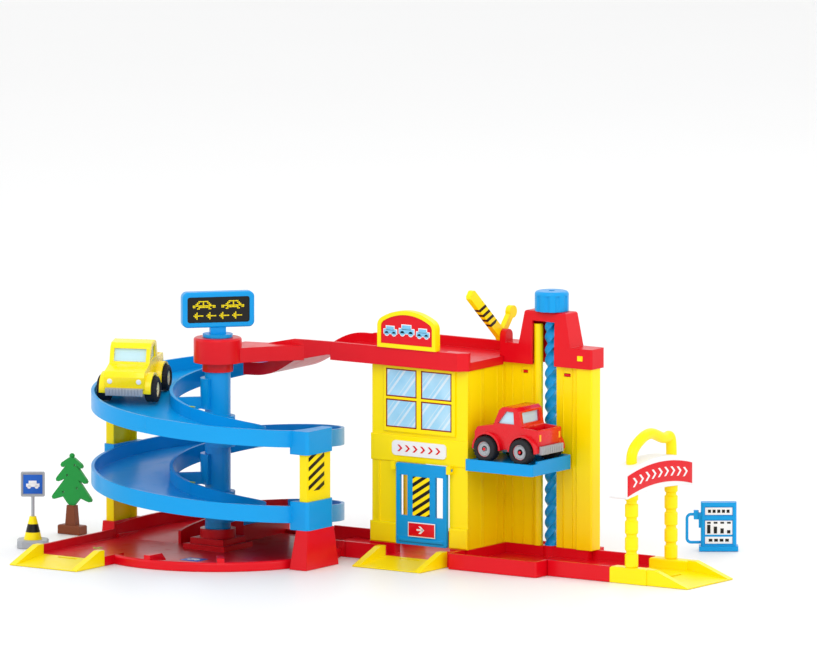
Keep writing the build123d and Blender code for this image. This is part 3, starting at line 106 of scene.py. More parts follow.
# ---------------------------------------------------------------- shader graph
class Value:
    """A number in a shader. Arithmetic on it adds Math nodes."""

    def __init__(self, graph: "Graph", socket: bpy.types.NodeSocket) -> None:
        """Wrap a socket.

        Args:
            graph: The graph that the socket is in.
            socket: An output socket that carries a number.
        """
        self.graph = graph
        self.socket = socket

    def math(self, operation: str, *others: Union["Value", Number], flip: bool = False) -> "Value":
        """Add one Math node.

        Args:
            operation: Name of the operation, such as ADD.
            others: The other operands.
            flip: Put this value after the first of the others.

        Returns:
            The result.
        """
        operands = [self, *others]
        if flip:
            operands[0], operands[1] = operands[1], operands[0]
        inputs = {i: o.socket if isinstance(o, Value) else float(o) for i, o in enumerate(operands)}
        node = self.graph.node("ShaderNodeMath", {"operation": operation}, inputs)
        return Value(self.graph, node.outputs[0])

    def __add__(self, other: Union["Value", Number]) -> "Value":
        """Sum."""
        return self.math("ADD", other)

    __radd__ = __add__

    def __sub__(self, other: Union["Value", Number]) -> "Value":
        """Difference."""
        return self.math("SUBTRACT", other)

    def __rsub__(self, other: Number) -> "Value":
        """Difference with this value second."""
        return self.math("SUBTRACT", other, flip=True)

    def __mul__(self, other: Union["Value", Number]) -> "Value":
        """Product."""
        return self.math("MULTIPLY", other)

    __rmul__ = __mul__

    def __truediv__(self, other: Union["Value", Number]) -> "Value":
        """Quotient."""
        return self.math("DIVIDE", other)

    def wave(self) -> "Value":
        """The part after the decimal point."""
        return self.math("FRACT")

    def size(self) -> "Value":
        """The number without its sign."""
        return self.math("ABSOLUTE")

    def limit(self) -> "Value":
        """The number held between 0 and 1."""
        return self.math("MAXIMUM", 0.0).math("MINIMUM", 1.0)

    def above(self, edge: Number, blur: Number) -> "Value":
        """A mask that is 1 above an edge.

        Args:
            edge: Where the mask is a half.
            blur: Width over which it changes.

        Returns:
            The mask, from 0 to 1.
        """
        return ((self - edge) / blur + 0.5).limit()


class Graph:
    """The node tree of one material, ending in a Principled shader."""

    def __init__(self, name: str) -> None:
        """Make the material.

        Args:
            name: Name of the material.
        """
        self.material = bpy.data.materials.new(name)
        self.material.use_nodes = True
        self.tree = self.material.node_tree
        self.tree.nodes.clear()
        self.shader = self.node("ShaderNodeBsdfPrincipled", {}, {})
        self.node("ShaderNodeOutputMaterial", {}, {"Surface": self.shader.outputs[0]})
        coordinates = self.node("ShaderNodeTexCoord", {}, {})
        self.place = coordinates.outputs["Object"]

    def node(self, kind: str, settings: dict, inputs: dict) -> bpy.types.Node:
        """Add a node.

        Args:
            kind: Type of the node.
            settings: Values of its properties, set before its sockets. A ramp takes "stops".
            inputs: Values or links of its sockets, by name or number.

        Returns:
            The node.
        """
        made = self.tree.nodes.new(kind)
        for name, value in settings.items():
            if name == "stops":
                self._stops(made, value)
            else:
                setattr(made, name, value)
        for key, value in inputs.items():
            socket = made.inputs[key]
            value = value.socket if isinstance(value, Value) else value
            if isinstance(value, bpy.types.NodeSocket):
                self.tree.links.new(value, socket)
            else:
                socket.default_value = value
        return made

    @staticmethod
    def _stops(ramp: bpy.types.Node, stops: Sequence[tuple[float, Colour]]) -> None:
        """Give a ramp its colours.

        Args:
            ramp: The Color Ramp node.
            stops: Places and colours, first to last.
        """
        elements = ramp.color_ramp.elements
        while len(elements) < len(stops):
            elements.new(0.5)
        for element, (place, colour) in zip(elements, stops):
            element.position = place
            element.color = (*colour, 1.0)

    def noise(self, scale: float, detail: float = 3.0, stretch: Point = (1.0, 1.0, 1.0)) -> Value:
        """Smooth noise over the surface.

        Args:
            scale: Features per metre.
            detail: Number of finer layers.
            stretch: Factor on each axis before the noise is read.

        Returns:
            Noise from 0 to 1, about 0.5.
        """
        mapped = self.node("ShaderNodeMapping", {}, {"Vector": self.place, "Scale": stretch})
        made = self.node(
            "ShaderNodeTexNoise", {}, {"Vector": mapped.outputs[0], "Scale": scale, "Detail": detail}
        )
        return Value(self, made.outputs["Fac"])

    def along(self, direction: Point) -> Value:
        """Distance along a direction, in millimetres.

        Args:
            direction: The direction, which needn't be of length one.

        Returns:
            The distance from the origin of the model.
        """
        unit = Vector(direction).normalized() / MM
        made = self.node(
            "ShaderNodeVectorMath", {"operation": "DOT_PRODUCT"}, {0: self.place, 1: tuple(unit)}
        )
        return Value(self, made.outputs["Value"])

    def blend(self, mask: Value, low: Union[Colour, bpy.types.NodeSocket], high: Union[Colour, bpy.types.NodeSocket]) -> bpy.types.NodeSocket:
        """Mix two colours.

        Args:
            mask: 0 for the first colour, 1 for the second.
            low: First colour or its socket.
            high: Second colour or its socket.

        Returns:
            Socket of the mixed colour.
        """
        ends = [(*c, 1.0) if isinstance(c, tuple) else c for c in (low, high)]
        made = self.node("ShaderNodeMix", {"data_type": "RGBA"}, {0: mask, 6: ends[0], 7: ends[1]})
        return made.outputs[2]

    def feed(self, **inputs: Union[Value, Number, Colour, bpy.types.NodeSocket]) -> None:
        """Set sockets of the Principled shader.

        Args:
            inputs: Values or links, with _ for the spaces in a socket's name.
        """
        for name, value in inputs.items():
            socket = self.shader.inputs[name.replace("_", " ")]
            value = value.socket if isinstance(value, Value) else value
            if isinstance(value, bpy.types.NodeSocket):
                self.tree.links.new(value, socket)
            else:
                socket.default_value = (*value, 1.0) if isinstance(value, tuple) else value

    def relief(self, height: Value, strength: float, depth: float, edge: float) -> None:
        """Give the surface fine relief over softly rounded edges.

        Args:
            height: Height of the relief, from 0 to 1.
            strength: Strength of the bump.
            depth: Real height of the relief, in millimetres.
            edge: Radius of the rounded edges, in millimetres.
        """
        rounded = self.node("ShaderNodeBevel", {"samples": 4}, {"Radius": edge * MM})
        bump = self.node(
            "ShaderNodeBump",
            {},
            {"Strength": strength, "Distance": depth * MM, "Height": height, "Normal": rounded.outputs[0]},
        )
        self.feed(Normal=bump.outputs[0])


# ---------------------------------------------------------------- finishes
@dataclass(frozen=True)
class Finish:
    """A finish of moulded plastic, plain or with a print on it.

    Attributes:
        name: Name of the material.
        tone: Main colour.
        gloss: Roughness of the surface; a lower value is glossier.
        clear: Weight of the thin glossy layer that fresh plastic shows.
        grain: Strength of the fine relief of the mould.
        edge: Radius of the rounded edges, in millimetres.
    """

    name: str
    tone: Tone
    gloss: float = 0.3
    clear: float = 0.1
    grain: float = 0.06
    edge: float = 0.9

    def colour(self, graph: Graph) -> bpy.types.NodeSocket:
        """The colour, with the slight cloudiness of a moulded pigment.

        Args:
            graph: Graph of the material.

        Returns:
            Socket of the colour.
        """
        deep = tuple(0.95 * c for c in self.tone.linear)
        cloud = graph.noise(14.0, 2.0)
        return graph.blend(cloud.above(0.45, 0.5), deep, self.tone.linear)

    def height(self, graph: Graph) -> Value:
        """Relief of the mould: fine grain and faint flow lines.

        Args:
            graph: Graph of the material.

        Returns:
            Height from 0 to 1.
        """
        fine = graph.noise(1800.0, 2.0)
        flow = graph.noise(90.0, 2.0, (1.0, 1.0, 0.25))
        return fine * 0.7 + flow * 0.3

    def material(self) -> bpy.types.Material:
        """Build the material.

        Returns:
            The finished material.
        """
        graph = Graph(self.name)
        scuffs = graph.noise(60.0, 5.0).above(0.62, 0.25)
        graph.feed(
            Base_Color=self.colour(graph),
            Roughness=scuffs * 0.12 + self.gloss,
            Coat_Weight=self.clear,
            Coat_Roughness=0.12,
            IOR=1.5,
            Specular_IOR_Level=0.2,
        )
        graph.relief(self.height(graph), self.grain, 0.25, self.edge)
        return graph.material


@dataclass(frozen=True)
class Striped(Finish):
    """Plastic or film with straight bands of a second colour.

    Attributes:
        second: Colour of the bands.
        direction: Direction across the bands.
        period: Distance from band to band, in millimetres.
        share: Share of the period that the bands take.
        start: Place of one band's middle along the direction, in millimetres.
        window: Direction along which the bands are cut off, or None.
        window_ends: Ends of the bands along that direction, in millimetres.
    """

    second: Tone = Tone.BLACK
    direction: Point = (0.0, 0.0, 1.0)
    period: float = 10.0
    share: float = 0.5
    start: float = 0.0
    window: Optional[Point] = None
    window_ends: tuple[float, float] = (0.0, 0.0)

    def colour(self, graph: Graph) -> bpy.types.NodeSocket:
        """Base colour with the bands over it.

        Args:
            graph: Graph of the material.

        Returns:
            Socket of the colour.
        """
        base = super().colour(graph)
        wave = ((graph.along(self.direction) - self.start) / self.period + 0.5).wave()
        mask = 1 - (wave - 0.5).size().above(self.share / 2, 0.02)
        if self.window is not None:
            place = graph.along(self.window)
            low, high = self.window_ends
            mask = mask * place.above(low, 0.2) * (1 - place.above(high, 0.2))
        return graph.blend(mask, base, self.second.linear)


@dataclass(frozen=True)
class Glazing(Finish):
    """Printed window film: pale blue with white diagonal gleams.

    Attributes:
        direction: Direction across the gleams.
    """

    direction: Point = (1.0, 0.0, -0.8)

    def colour(self, graph: Graph) -> bpy.types.NodeSocket:
        """Blue that varies in cloudy patches between sky and pale blue, with two sets of gleams.

        Args:
            graph: Graph of the material.

        Returns:
            Socket of the colour.
        """
        place = graph.along(self.direction)
        broad = 1 - ((place / 17.0).wave() - 0.5).size().above(0.08, 0.03)
        thin = 1 - ((place / 17.0 + 0.3).wave() - 0.5).size().above(0.03, 0.02)
        shade = graph.blend(graph.noise(40.0, 1.0), Tone.SKY.linear, Tone.PALE_BLUE.linear)
        return graph.blend((broad * 0.55 + thin * 0.4).limit(), shade, Tone.WHITE.linear)


@dataclass(frozen=True)
class Rubbery(Finish):
    """Soft dull plastic of the tyres, with fine moulded grain."""

    def height(self, graph: Graph) -> Value:
        """Coarser grain than on hard plastic.

        Args:
            graph: Graph of the material.

        Returns:
            Height from 0 to 1.
        """
        return graph.noise(900.0, 4.0)


@dataclass(frozen=True)
class Metal:
    """Plated steel of the screws.

    Attributes:
        name: Name of the material.
        tone: Colour of the plating.
    """

    name: str
    tone: Tone = Tone.STEEL

    def material(self) -> bpy.types.Material:
        """Build the material.

        Returns:
            The finished material.
        """
        graph = Graph(self.name)
        rub = graph.noise(900.0, 4.0, (1.0, 1.0, 6.0))
        tint = graph.blend(rub, tuple(0.7 * c for c in self.tone.linear), self.tone.linear)
        graph.feed(Base_Color=tint, Metallic=1.0, Roughness=rub * 0.2 + 0.22)
        graph.relief(rub, 0.2, 0.05, 0.2)
        return graph.material


# ---------------------------------------------------------------- modelling steps
class Bench:
    """Modelling steps by operators, each on one object."""

    paints: dict[str, bpy.types.Material] = {}

    @staticmethod
    def clear() -> None:
        """Deselect everything."""
        bpy.ops.object.select_all(action="DESELECT")

    @classmethod
    def use(cls, *objects: bpy.types.Object) -> bpy.types.Object:
        """Select these objects alone and make the first one active."""
        cls.clear()
        for one in objects:
            one.select_set(True)
        bpy.context.view_layer.objects.active = objects[0]
        return objects[0]

    @classmethod
    def settle(cls, name: str) -> bpy.types.Object:
        """Name the new primitive and put its place into its mesh.

        Args:
            name: Name of the piece.

        Returns:
            The object.
        """
        made = bpy.context.object
        made.name = made.data.name = name
        cls.use(made)
        bpy.ops.object.transform_apply(location=True, rotation=True, scale=True)
        return made

    @classmethod
    def slab(cls, name: str, low: Point, high: Point, edge: float = 0.0) -> bpy.types.Object:
        """Block between two corners, its edges rounded.

        Args:
            name: Name of the piece.
            low: Lowest corner, in millimetres.
            high: Highest corner, in millimetres.
            edge: Radius of the rounded edges, in millimetres.

        Returns:
            The block.
        """
        cls.clear()
        middle = [(a + b) / 2 * MM for a, b in zip(low, high)]
        size = [(b - a) * MM for a, b in zip(low, high)]
        bpy.ops.mesh.primitive_cube_add(size=1.0, location=middle)
        bpy.context.object.scale = size
        made = cls.settle(name)
        return cls.soften(made, edge) if edge else made

    @classmethod
    def disc(
        cls, name: str, radius: float, depth: float, middle: Point, facing: Side, sides: int = 40, edge: float = 0.0
    ) -> bpy.types.Object:
        """Round piece with its axis along a side's direction.

        Args:
            name: Name of the piece.
            radius: Radius, in millimetres.
            depth: Thickness, in millimetres.
            middle: Its centre, in millimetres.
            facing: Side that it faces.
            sides: Number of sides.
            edge: Radius of the rounded rims, in millimetres.

        Returns:
            The disc.
        """
        cls.clear()
        turn = Vector((0, 0, 1)).rotation_difference(Vector(facing.value)).to_euler()
        bpy.ops.mesh.primitive_cylinder_add(
            vertices=sides, radius=radius * MM, depth=depth * MM, location=[c * MM for c in middle], rotation=turn
        )
        made = cls.settle(name)
        return cls.soften(made, edge) if edge else made

    @classmethod
    def soften(cls, made: bpy.types.Object, edge: float, segments: int = 2) -> bpy.types.Object:
        """Round the sharp edges with an applied modifier.

        Args:
            made: The piece.
            edge: Radius, in millimetres.
            segments: Number of steps in each rounding.

        Returns:
            The same piece.
        """
        cls.use(made)
        bevel = made.modifiers.new("rounding", "BEVEL")
        bevel.width, bevel.segments, bevel.limit_method = edge * MM, segments, "ANGLE"
        bevel.angle_limit = math.radians(40)
        bevel.use_clamp_overlap = True
        bpy.ops.object.modifier_apply(modifier=bevel.name)
        return made

    @classmethod
    def pick(cls, made: bpy.types.Object, test: Callable[[bpy.types.MeshPolygon], bool]) -> None:
        """Go into edit mode with the faces that pass a test selected.

        Args:
            made: The piece.
            test: Says whether a face is wanted.
        """
        cls.use(made)
        bpy.ops.object.mode_set(mode="EDIT")
        bpy.ops.mesh.select_mode(type="FACE")
        bpy.ops.mesh.select_all(action="DESELECT")
        bpy.ops.object.mode_set(mode="OBJECT")
        for face in made.data.polygons:
            face.select = test(face)
        bpy.ops.object.mode_set(mode="EDIT")

    @classmethod
    def sink(cls, made: bpy.types.Object, facing: Side, margin: float, depth: float) -> bpy.types.Object:
        """Inset the outermost faces on one side and push the middle in.

        Args:
            made: The piece.
            facing: Side of the faces.
            margin: Width of the rim that stays, in millimetres.
            depth: How far the middle goes in, or out if negative, in millimetres.

        Returns:
            The same piece.
        """
        way = Vector(facing.value)
        reach = max(v.co.dot(way) for v in made.data.vertices)
        cls.pick(made, lambda f: f.normal.dot(way) > 0.99 and f.center.dot(way) > reach - 1e-5)
        bpy.ops.mesh.inset(thickness=margin * MM, use_even_offset=True)
        bpy.ops.transform.translate(value=-way * depth * MM)
        bpy.ops.object.mode_set(mode="OBJECT")
        return made

    @classmethod
    def shear_top(cls, made: bpy.types.Object, axis: Point, above: float, shift: Point) -> bpy.types.Object:
        """Move the vertices beyond a height along an axis, as to slant or taper a block.

        Args:
            made: The piece.
            axis: Direction of the height.
            above: Height, in millimetres.
            shift: How far they move, in millimetres.

        Returns:
            The same piece.
        """
        way = Vector(axis)
        cls.use(made)
        bpy.ops.object.mode_set(mode="EDIT")
        bpy.ops.mesh.select_mode(type="VERT")
        bpy.ops.mesh.select_all(action="DESELECT")
        bpy.ops.object.mode_set(mode="OBJECT")
        for corner in made.data.vertices:
            corner.select = corner.co.dot(way) > above * MM
        bpy.ops.object.mode_set(mode="EDIT")
        bpy.ops.transform.translate(value=[s * MM for s in shift])
        bpy.ops.object.mode_set(mode="OBJECT")
        return made

    @classmethod
    def unite(cls, name: str, pieces: Sequence[bpy.types.Object]) -> bpy.types.Object:
        """Join pieces into one object.

        Args:
            name: Name of the result.
            pieces: The pieces, which are used up.

        Returns:
            The object.
        """
        whole = cls.use(*pieces)
        if len(pieces) > 1:
            bpy.ops.object.join()
        whole.name = whole.data.name = name
        return whole

    @classmethod
    def copies(cls, name: str, made: bpy.types.Object, places: Iterable[Matrix]) -> bpy.types.Object:
        """Repeat a piece and join the copies, each moved to its own place.

        Args:
            name: Name of the result.
            made: The piece, which is used up.
            places: One matrix for each copy, in metres.

        Returns:
            The joined copies.
        """
        joined = []
        for place in places:
            cls.use(made)
            bpy.ops.object.duplicate()
            twin = bpy.context.object
            twin.matrix_world = place
            cls.use(twin)
            bpy.ops.object.transform_apply(location=True, rotation=True, scale=True)
            joined.append(twin)
        bpy.data.objects.remove(made)
        return cls.unite(name, joined)

    @classmethod
    def move(cls, made: bpy.types.Object, place: Matrix) -> bpy.types.Object:
        """Turn and move a piece, with the result in its mesh."""
        made.matrix_world = place
        cls.use(made)
        bpy.ops.object.transform_apply(location=True, rotation=True, scale=True)
        return made

    @classmethod
    def twin(cls, node: str, name: str, edge: float, segments: int = 2, angle: float = 30.0) -> bpy.types.Object:
        """Copy a CAD node, merge its loose triangles and round its edges.

        Args:
            node: Name of the CAD node, which the copy then stands for.
            name: Name of the copy.
            edge: Radius of the rounding, in millimetres.
            segments: Number of steps in each rounding.
            angle: Angle from which an edge counts as sharp, in degrees.

        Returns:
            The copy.
        """
        source = bpy.data.objects[node]
        made = bpy.data.objects.new(name, source.data.copy())
        bpy.context.scene.collection.objects.link(made)
        made.data.materials.clear()
        cls.use(made)
        bpy.ops.object.mode_set(mode="EDIT")
        bpy.ops.mesh.select_all(action="SELECT")
        bpy.ops.mesh.remove_doubles(threshold=0.00002)
        bpy.ops.mesh.normals_make_consistent(inside=False)
        bpy.ops.mesh.dissolve_limited(angle_limit=math.radians(0.5))
        bpy.ops.object.mode_set(mode="OBJECT")
        if made.data.has_custom_normals:
            bpy.ops.mesh.customdata_custom_splitnormals_clear()
        bevel = made.modifiers.new("rounding", "BEVEL")
        bevel.width, bevel.segments = edge * MM, segments
        bevel.limit_method, bevel.angle_limit = "ANGLE", math.radians(angle)
        bevel.use_clamp_overlap = True
        bevel.harden_normals = False
        bpy.ops.object.modifier_apply(modifier=bevel.name)
        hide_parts(node)
        return made

    @classmethod
    def finish(
        cls, made: bpy.types.Object, paint: str, body: str = "garage", slot: str = "", smooth: float = 35.0
    ) -> bpy.types.Object:
        """Give a piece its material, smooth shading and body.

        Args:
            made: The piece.
            paint: Name of the finish.
            body: CAD body that it rides on.
            slot: Material slot of the record, if it has one; not used.
            smooth: Angle below which edges look smooth, in degrees.

        Returns:
            The same piece.
        """
        cls.use(made)
        bpy.ops.object.shade_smooth_by_angle(angle=math.radians(smooth))
        made.data.materials.clear()
        made.data.materials.append(cls.paints[paint])
        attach(made, body)
        LOG.info("%s: %d faces, rides on %s", made.name, len(made.data.polygons), body)
        return made


def spot(x: float = 0.0, y: float = 0.0, z: float = 0.0, turn: float = 0.0, axis: str = "Z") -> Matrix:
    """A place in millimetres with a turn in degrees about one axis."""
    return Matrix.Translation((x * MM, y * MM, z * MM)) @ Matrix.Rotation(math.radians(turn), 4, axis)


# ---------------------------------------------------------------- printed marks
@dataclass
class CarMark:
    """Side view of a small car, as a flat mark that faces the front.

    Attributes:
        width: Length of the car, in millimetres.
        thick: Thickness of the print.
    """

    width: float = 14.0
    thick: float = 0.3

    def build(self, name: str, grow: float = 0.0) -> bpy.types.Object:
        """Model the mark about its own middle, its face on y = 0 and upwards.

        Args:
            name: Name of the piece.
            grow: Width of an outline added all round.

        Returns:
            The mark.
        """
        unit, back = self.width / 14.0, self.thick
        half, g = 7.0 * unit, grow
        hull = Bench.slab(name, (-half - g, 0, -2.6 * unit - g), (half + g, back, 0.9 * unit + g), 0.0)
        hull = Bench.soften(hull, 0.9 * unit)
        cab = Bench.slab(name, (-4.4 * unit - g, 0, 0.3 * unit), (4.0 * unit + g, back, 4.0 * unit + g), 0.0)
        cab = Bench.soften(cab, 1.3 * unit)
        wheels = [
            Bench.disc(name, 1.9 * unit + g, back, (x * unit, back / 2, -2.6 * unit), Side.FRONT, 24)
            for x in (-4.0, 4.0)
        ]
        return Bench.unite(name, [hull, cab, *wheels])


@dataclass
class ArrowMark:
    """Chevron or arrow made of two slanted bars and, for an arrow, a shaft.

    Attributes:
        size: Height of the mark, in millimetres.
        shaft: Whether it has a shaft.
        thick: Thickness of the print.
    """

    size: float = 9.0
    shaft: bool = True
    thick: float = 0.3

    def build(self, name: str) -> bpy.types.Object:
        """Model the mark about its own middle, pointing to +X, its face on y = 0.

        Args:
            name: Name of the piece.

        Returns:
            The mark.
        """
        half, bar = self.size / 2, self.size * 0.24
        upper = Bench.slab(name, (-half * 0.9, 0, 0), (-half * 0.9 + bar * 1.5, self.thick, half), 0.0)
        upper = Bench.shear_top(upper, (0, 0, 1), half * 0.5, (0, 0, 0))
        low = [v for v in upper.data.vertices if v.co.z < half * 0.5 * MM]
        for corner in low:
            corner.co.x += half * 1.1 * MM
        lower = Bench.copies(name, upper, [spot(), Matrix.Scale(-1, 4, (0, 0, 1))])
        Bench.use(lower)
        bpy.ops.object.mode_set(mode="EDIT")
        bpy.ops.mesh.select_all(action="SELECT")
        bpy.ops.mesh.remove_doubles(threshold=0.00001)
        bpy.ops.mesh.normals_make_consistent(inside=False)
        bpy.ops.object.mode_set(mode="OBJECT")
        if not self.shaft:
            return lower
        rod = Bench.slab(name, (-half * 1.5, 0, -bar / 2), (half * 0.5, self.thick, bar / 2), 0.1)
        return Bench.unite(name, [lower, rod])


@dataclass
class DotMark:
    """Picture of square dots, as on a lit display.

    Attributes:
        rows: Lines of the picture from the top, with # for a lit dot.
        pitch: Distance from dot to dot, in millimetres.
        fill: Share of the pitch that a dot takes.
    """

    rows: Sequence[str]
    pitch: float = 1.75
    fill: float = 0.82

    def build(self, name: str) -> bpy.types.Object:
        """Model the lit dots about the picture's middle, facing the front.

        Args:
            name: Name of the piece.

        Returns:
            The dots.
        """
        half = self.pitch * self.fill / 2
        dot = Bench.slab(name, (-half, 0, -half), (half, 0.35, half), 0.12)
        wide = max(len(row) for row in self.rows)
        places = [
            spot((column - (wide - 1) / 2) * self.pitch, 0, ((len(self.rows) - 1) / 2 - line) * self.pitch)
            for line, row in enumerate(self.rows)
            for column, sign in enumerate(row)
            if sign == "#"
        ]
        return Bench.copies(name, dot, places)


# ---------------------------------------------------------------- sub-assemblies
@dataclass
class Spiral:
    """Round base and spiral track: bay sign, lane arrow, seam clips and the striped pillar film.

    Attributes:
        floor_z: Top of the base floor.
        mark_low: Lowest corner of the bay sign in plan.
        mark_high: Highest corner of the bay sign in plan.
        lane_mark: Middle of the lane arrow in plan.
        pillar_x: Right face of the right pillar.
        film: Ends of the striped film along Y and Z.
    """

    floor_z: float = 7.0
    mark_low: tuple[float, float] = (19.0, -108.0)
    mark_high: tuple[float, float] = (45.0, -85.0)
    lane_mark: tuple[float, float] = (-117.0, -87.0)
    pillar_x: float = 163.6
    film: tuple[float, float, float, float] = (-46.0, -13.0, 93.5, 139.0)

    def build(self) -> None:
        """Make the prints of the base and the track."""
        self.bay_sign()
        self.lane_arrow()
        self.pillar_film()
        self.seam_clips()
        self.steps()

    def bay_sign(self) -> None:
        """Blue square with a white car, printed on the floor of a bay."""
        low, high, z = self.mark_low, self.mark_high, self.floor_z
        plate = Bench.slab("bay_sign", (*low, z - 0.1), (*high, z + 0.3), 0.12)
        Bench.finish(plate, "sign_blue", slot="blue_plastic")
        mark = CarMark(17.0).build("bay_sign_car")
        middle = [(a + b) / 2 for a, b in zip(low, high)]
        place = spot(middle[0], middle[1], z + 0.55) @ Matrix.Rotation(math.radians(-90), 4, "X")
        Bench.finish(Bench.move(mark, place), "print_white", slot="white_plastic")

    def lane_arrow(self) -> None:
        """Lime arrow on the floor of the exit lane, pointing to the ramp."""
        mark = ArrowMark(13.0).build("lane_arrow")
        x, y = self.lane_mark
        place = spot(x, y, self.floor_z + 0.3, -90) @ Matrix.Rotation(math.radians(-90), 4, "X")
        Bench.finish(Bench.move(mark, place), "print_lime")

    def pillar_film(self) -> None:
        """Striped film on the right face of the right pillar."""
        y0, y1, z0, z1 = self.film
        film = Bench.slab("pillar_film", (self.pillar_x - 0.1, y0, z0), (self.pillar_x + 0.25, y1, z1), 0.1)
        Bench.finish(film, "pillar_stripes", slot="yellow_plastic")

    def seam_clips(self) -> None:
        """Small clips across the seams of the track, on its inner kerb."""
        for name, z in (("upper", 183.9), ("lower", 92.7)):
            clip = Bench.slab(f"seam_clip_{name}", (-5.5, -57.2, z), (5.5, -54.8, z + 0.9), 0.3)
            clip = Bench.sink(clip, Side.UP, 0.5, 0.3)
            Bench.finish(clip, "print_lime")

    def steps(self) -> None:
        """Raised lines of the two steps round the hub block."""
        rings = []
        for half, z in ((30.0, 13.0), (24.0, 20.0)):
            step = Bench.slab("hub_steps", (-half + 0.6, -half + 0.6, z - 0.5), (half - 0.6, half - 0.6, z + 0.5), 0.4)
            rings.append(Bench.sink(step, Side.UP, 1.6, 0.45))
        Bench.finish(Bench.unite("hub_steps", rings), "red_plastic", slot="red_plastic")


@dataclass
class House:
    """Garage building: window frames, wall lines, name plate print, roof sign print and the peg of the tower cap.

    Attributes:
        front_y: Front face of the front wall.
        panes: Lowest corners of the four panes in X and Z.
        pane: Width and height of a pane.
        plate_middle: Middle of the name plate, on its front.
    """

    front_y: float = 84.0
    panes: tuple[tuple[float, float], ...] = ((189.0, 159.5), (189.0, 196.5), (239.5, 159.5), (239.5, 196.5))
    pane: tuple[float, float] = (44.0, 34.0)
    plate_middle: Point = (236.5, 80.9, 135.0)

    def build(self) -> None:
        """Make the pieces of the building."""
        self.window_frames()
        self.wall_lines()
        self.plate_print()
        self.roof_sign_print()
        self.peg()

    def window_frames(self) -> None:
        """Dark red lines round the panes."""
        bars = []
        wide, high = self.pane
        y0, y1, t = self.front_y - 3.05, self.front_y - 2.5, 1.5
        for x, z in self.panes:
            for low, top in (
                ((x, z), (x + t, z + high)),
                ((x + wide - t, z), (x + wide, z + high)),
                ((x, z), (x + wide, z + t)),
                ((x, z + high - t), (x + wide, z + high)),
            ):
                bars.append(Bench.slab("window_frames", (low[0], y0, low[1]), (top[0], y1, top[1]), 0.2))
        Bench.finish(Bench.unite("window_frames", bars), "frame_red", slot="red_plastic")

    def wall_lines(self) -> None:
        """Shallow upright beads on the right wall and on the tower wall."""
        right = [(304.9, y, 20.0, 305.7, y + 1.6, 234.0) for y in (146.0, 158.0)]
        tower = [(x, 163.2, 20.0, x + 1.6, 164.1, 234.0) for x in (315.0, 330.0, 344.0, 388.0)]
        beads = [Bench.slab("wall_lines", b[:3], b[3:], 0.35) for b in right + tower]
        Bench.finish(Bench.unite("wall_lines", beads), "yellow_plastic", slot="yellow_plastic")

    def plate_print(self) -> None:
        """Row of red arrows on the name plate."""
        x, y, z = self.plate_middle
        marks = ArrowMark(8.0, shaft=False).build("plate_print")
        row = [spot(x + step, y - 0.3, z) for step in (-27.5, -16.5, -5.5, 5.5, 16.5, 27.5)]
        Bench.finish(Bench.copies("plate_print", marks, row), "print_red", slot="red_plastic")

    def roof_sign_print(self) -> None:
        """Three pale blue cars with white outlines on the roof sign."""
        low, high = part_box("arch_panel")
        x, y, z = (low.x + high.x) / 2 / MM, low.y / MM, low.z / MM + 15.5
        for name, grow, out, paint in (("roof_sign_outline", 1.0, 0.3, "print_white"), ("roof_sign_cars", 0.0, 0.55, "print_sky")):
            marks = [
                Bench.move(CarMark(size).build(name, grow), spot(x + step, y - out, z + rise))
                for step, rise, size in ((-23.5, 0.0, 18.0), (0.0, 2.0, 21.0), (23.5, 0.0, 18.0))
            ]
            Bench.finish(Bench.unite(name, marks), paint, slot="white_plastic")

    def peg(self) -> None:
        """Yellow peg that shows in the front of the tower cap."""
        peg = Bench.slab("cap_peg", (413.6, 155.9, 247.3), (421.0, 158.0, 253.6), 0.5)
        peg = Bench.sink(peg, Side.FRONT, 1.0, 0.5)
        Bench.finish(peg, "yellow_plastic", slot="yellow_plastic")


@dataclass
class ExitSign:
    """Swivelling sign: lit dots of cars and arrows on its dark panel.

    Attributes:
        turn: Angle of the sign, in degrees.
        face_y: Front of the panel before the turn.
        middle_z: Height of its middle.
    """

    turn: float = 46.0
    face_y: float = -4.8
    middle_z: float = 295.8
    cars: tuple[str, ...] = (
        "......#######..............#######......",
        ".....##..#..##............##..#..##.....",
        "....##...#...##..........##...#...##....",
        "..################....################..",
        "..##..########..##....##..########..##..",
        ".....##......##..........##......##.....",
    )
    arrows: tuple[str, ...] = (
        "...#........#........#........#......",
        "..##.......##.......##.......##......",
        ".#######..#######..#######..#######..",
        "..##.......##.......##.......##......",
        "...#........#........#........#......",
    )

    def build(self) -> None:
        """Make the lit dots."""
        turn = Matrix.Rotation(math.radians(self.turn), 4, "Z")
        for name, rows, rise in (("sign_cars", self.cars, 5.8), ("sign_arrows", self.arrows, -7.2)):
            dots = DotMark(rows).build(name)
            place = turn @ spot(0.0, self.face_y - 0.3, self.middle_z + rise)
            Bench.finish(Bench.move(dots, place), "lit_dots", "exit_sign_body")


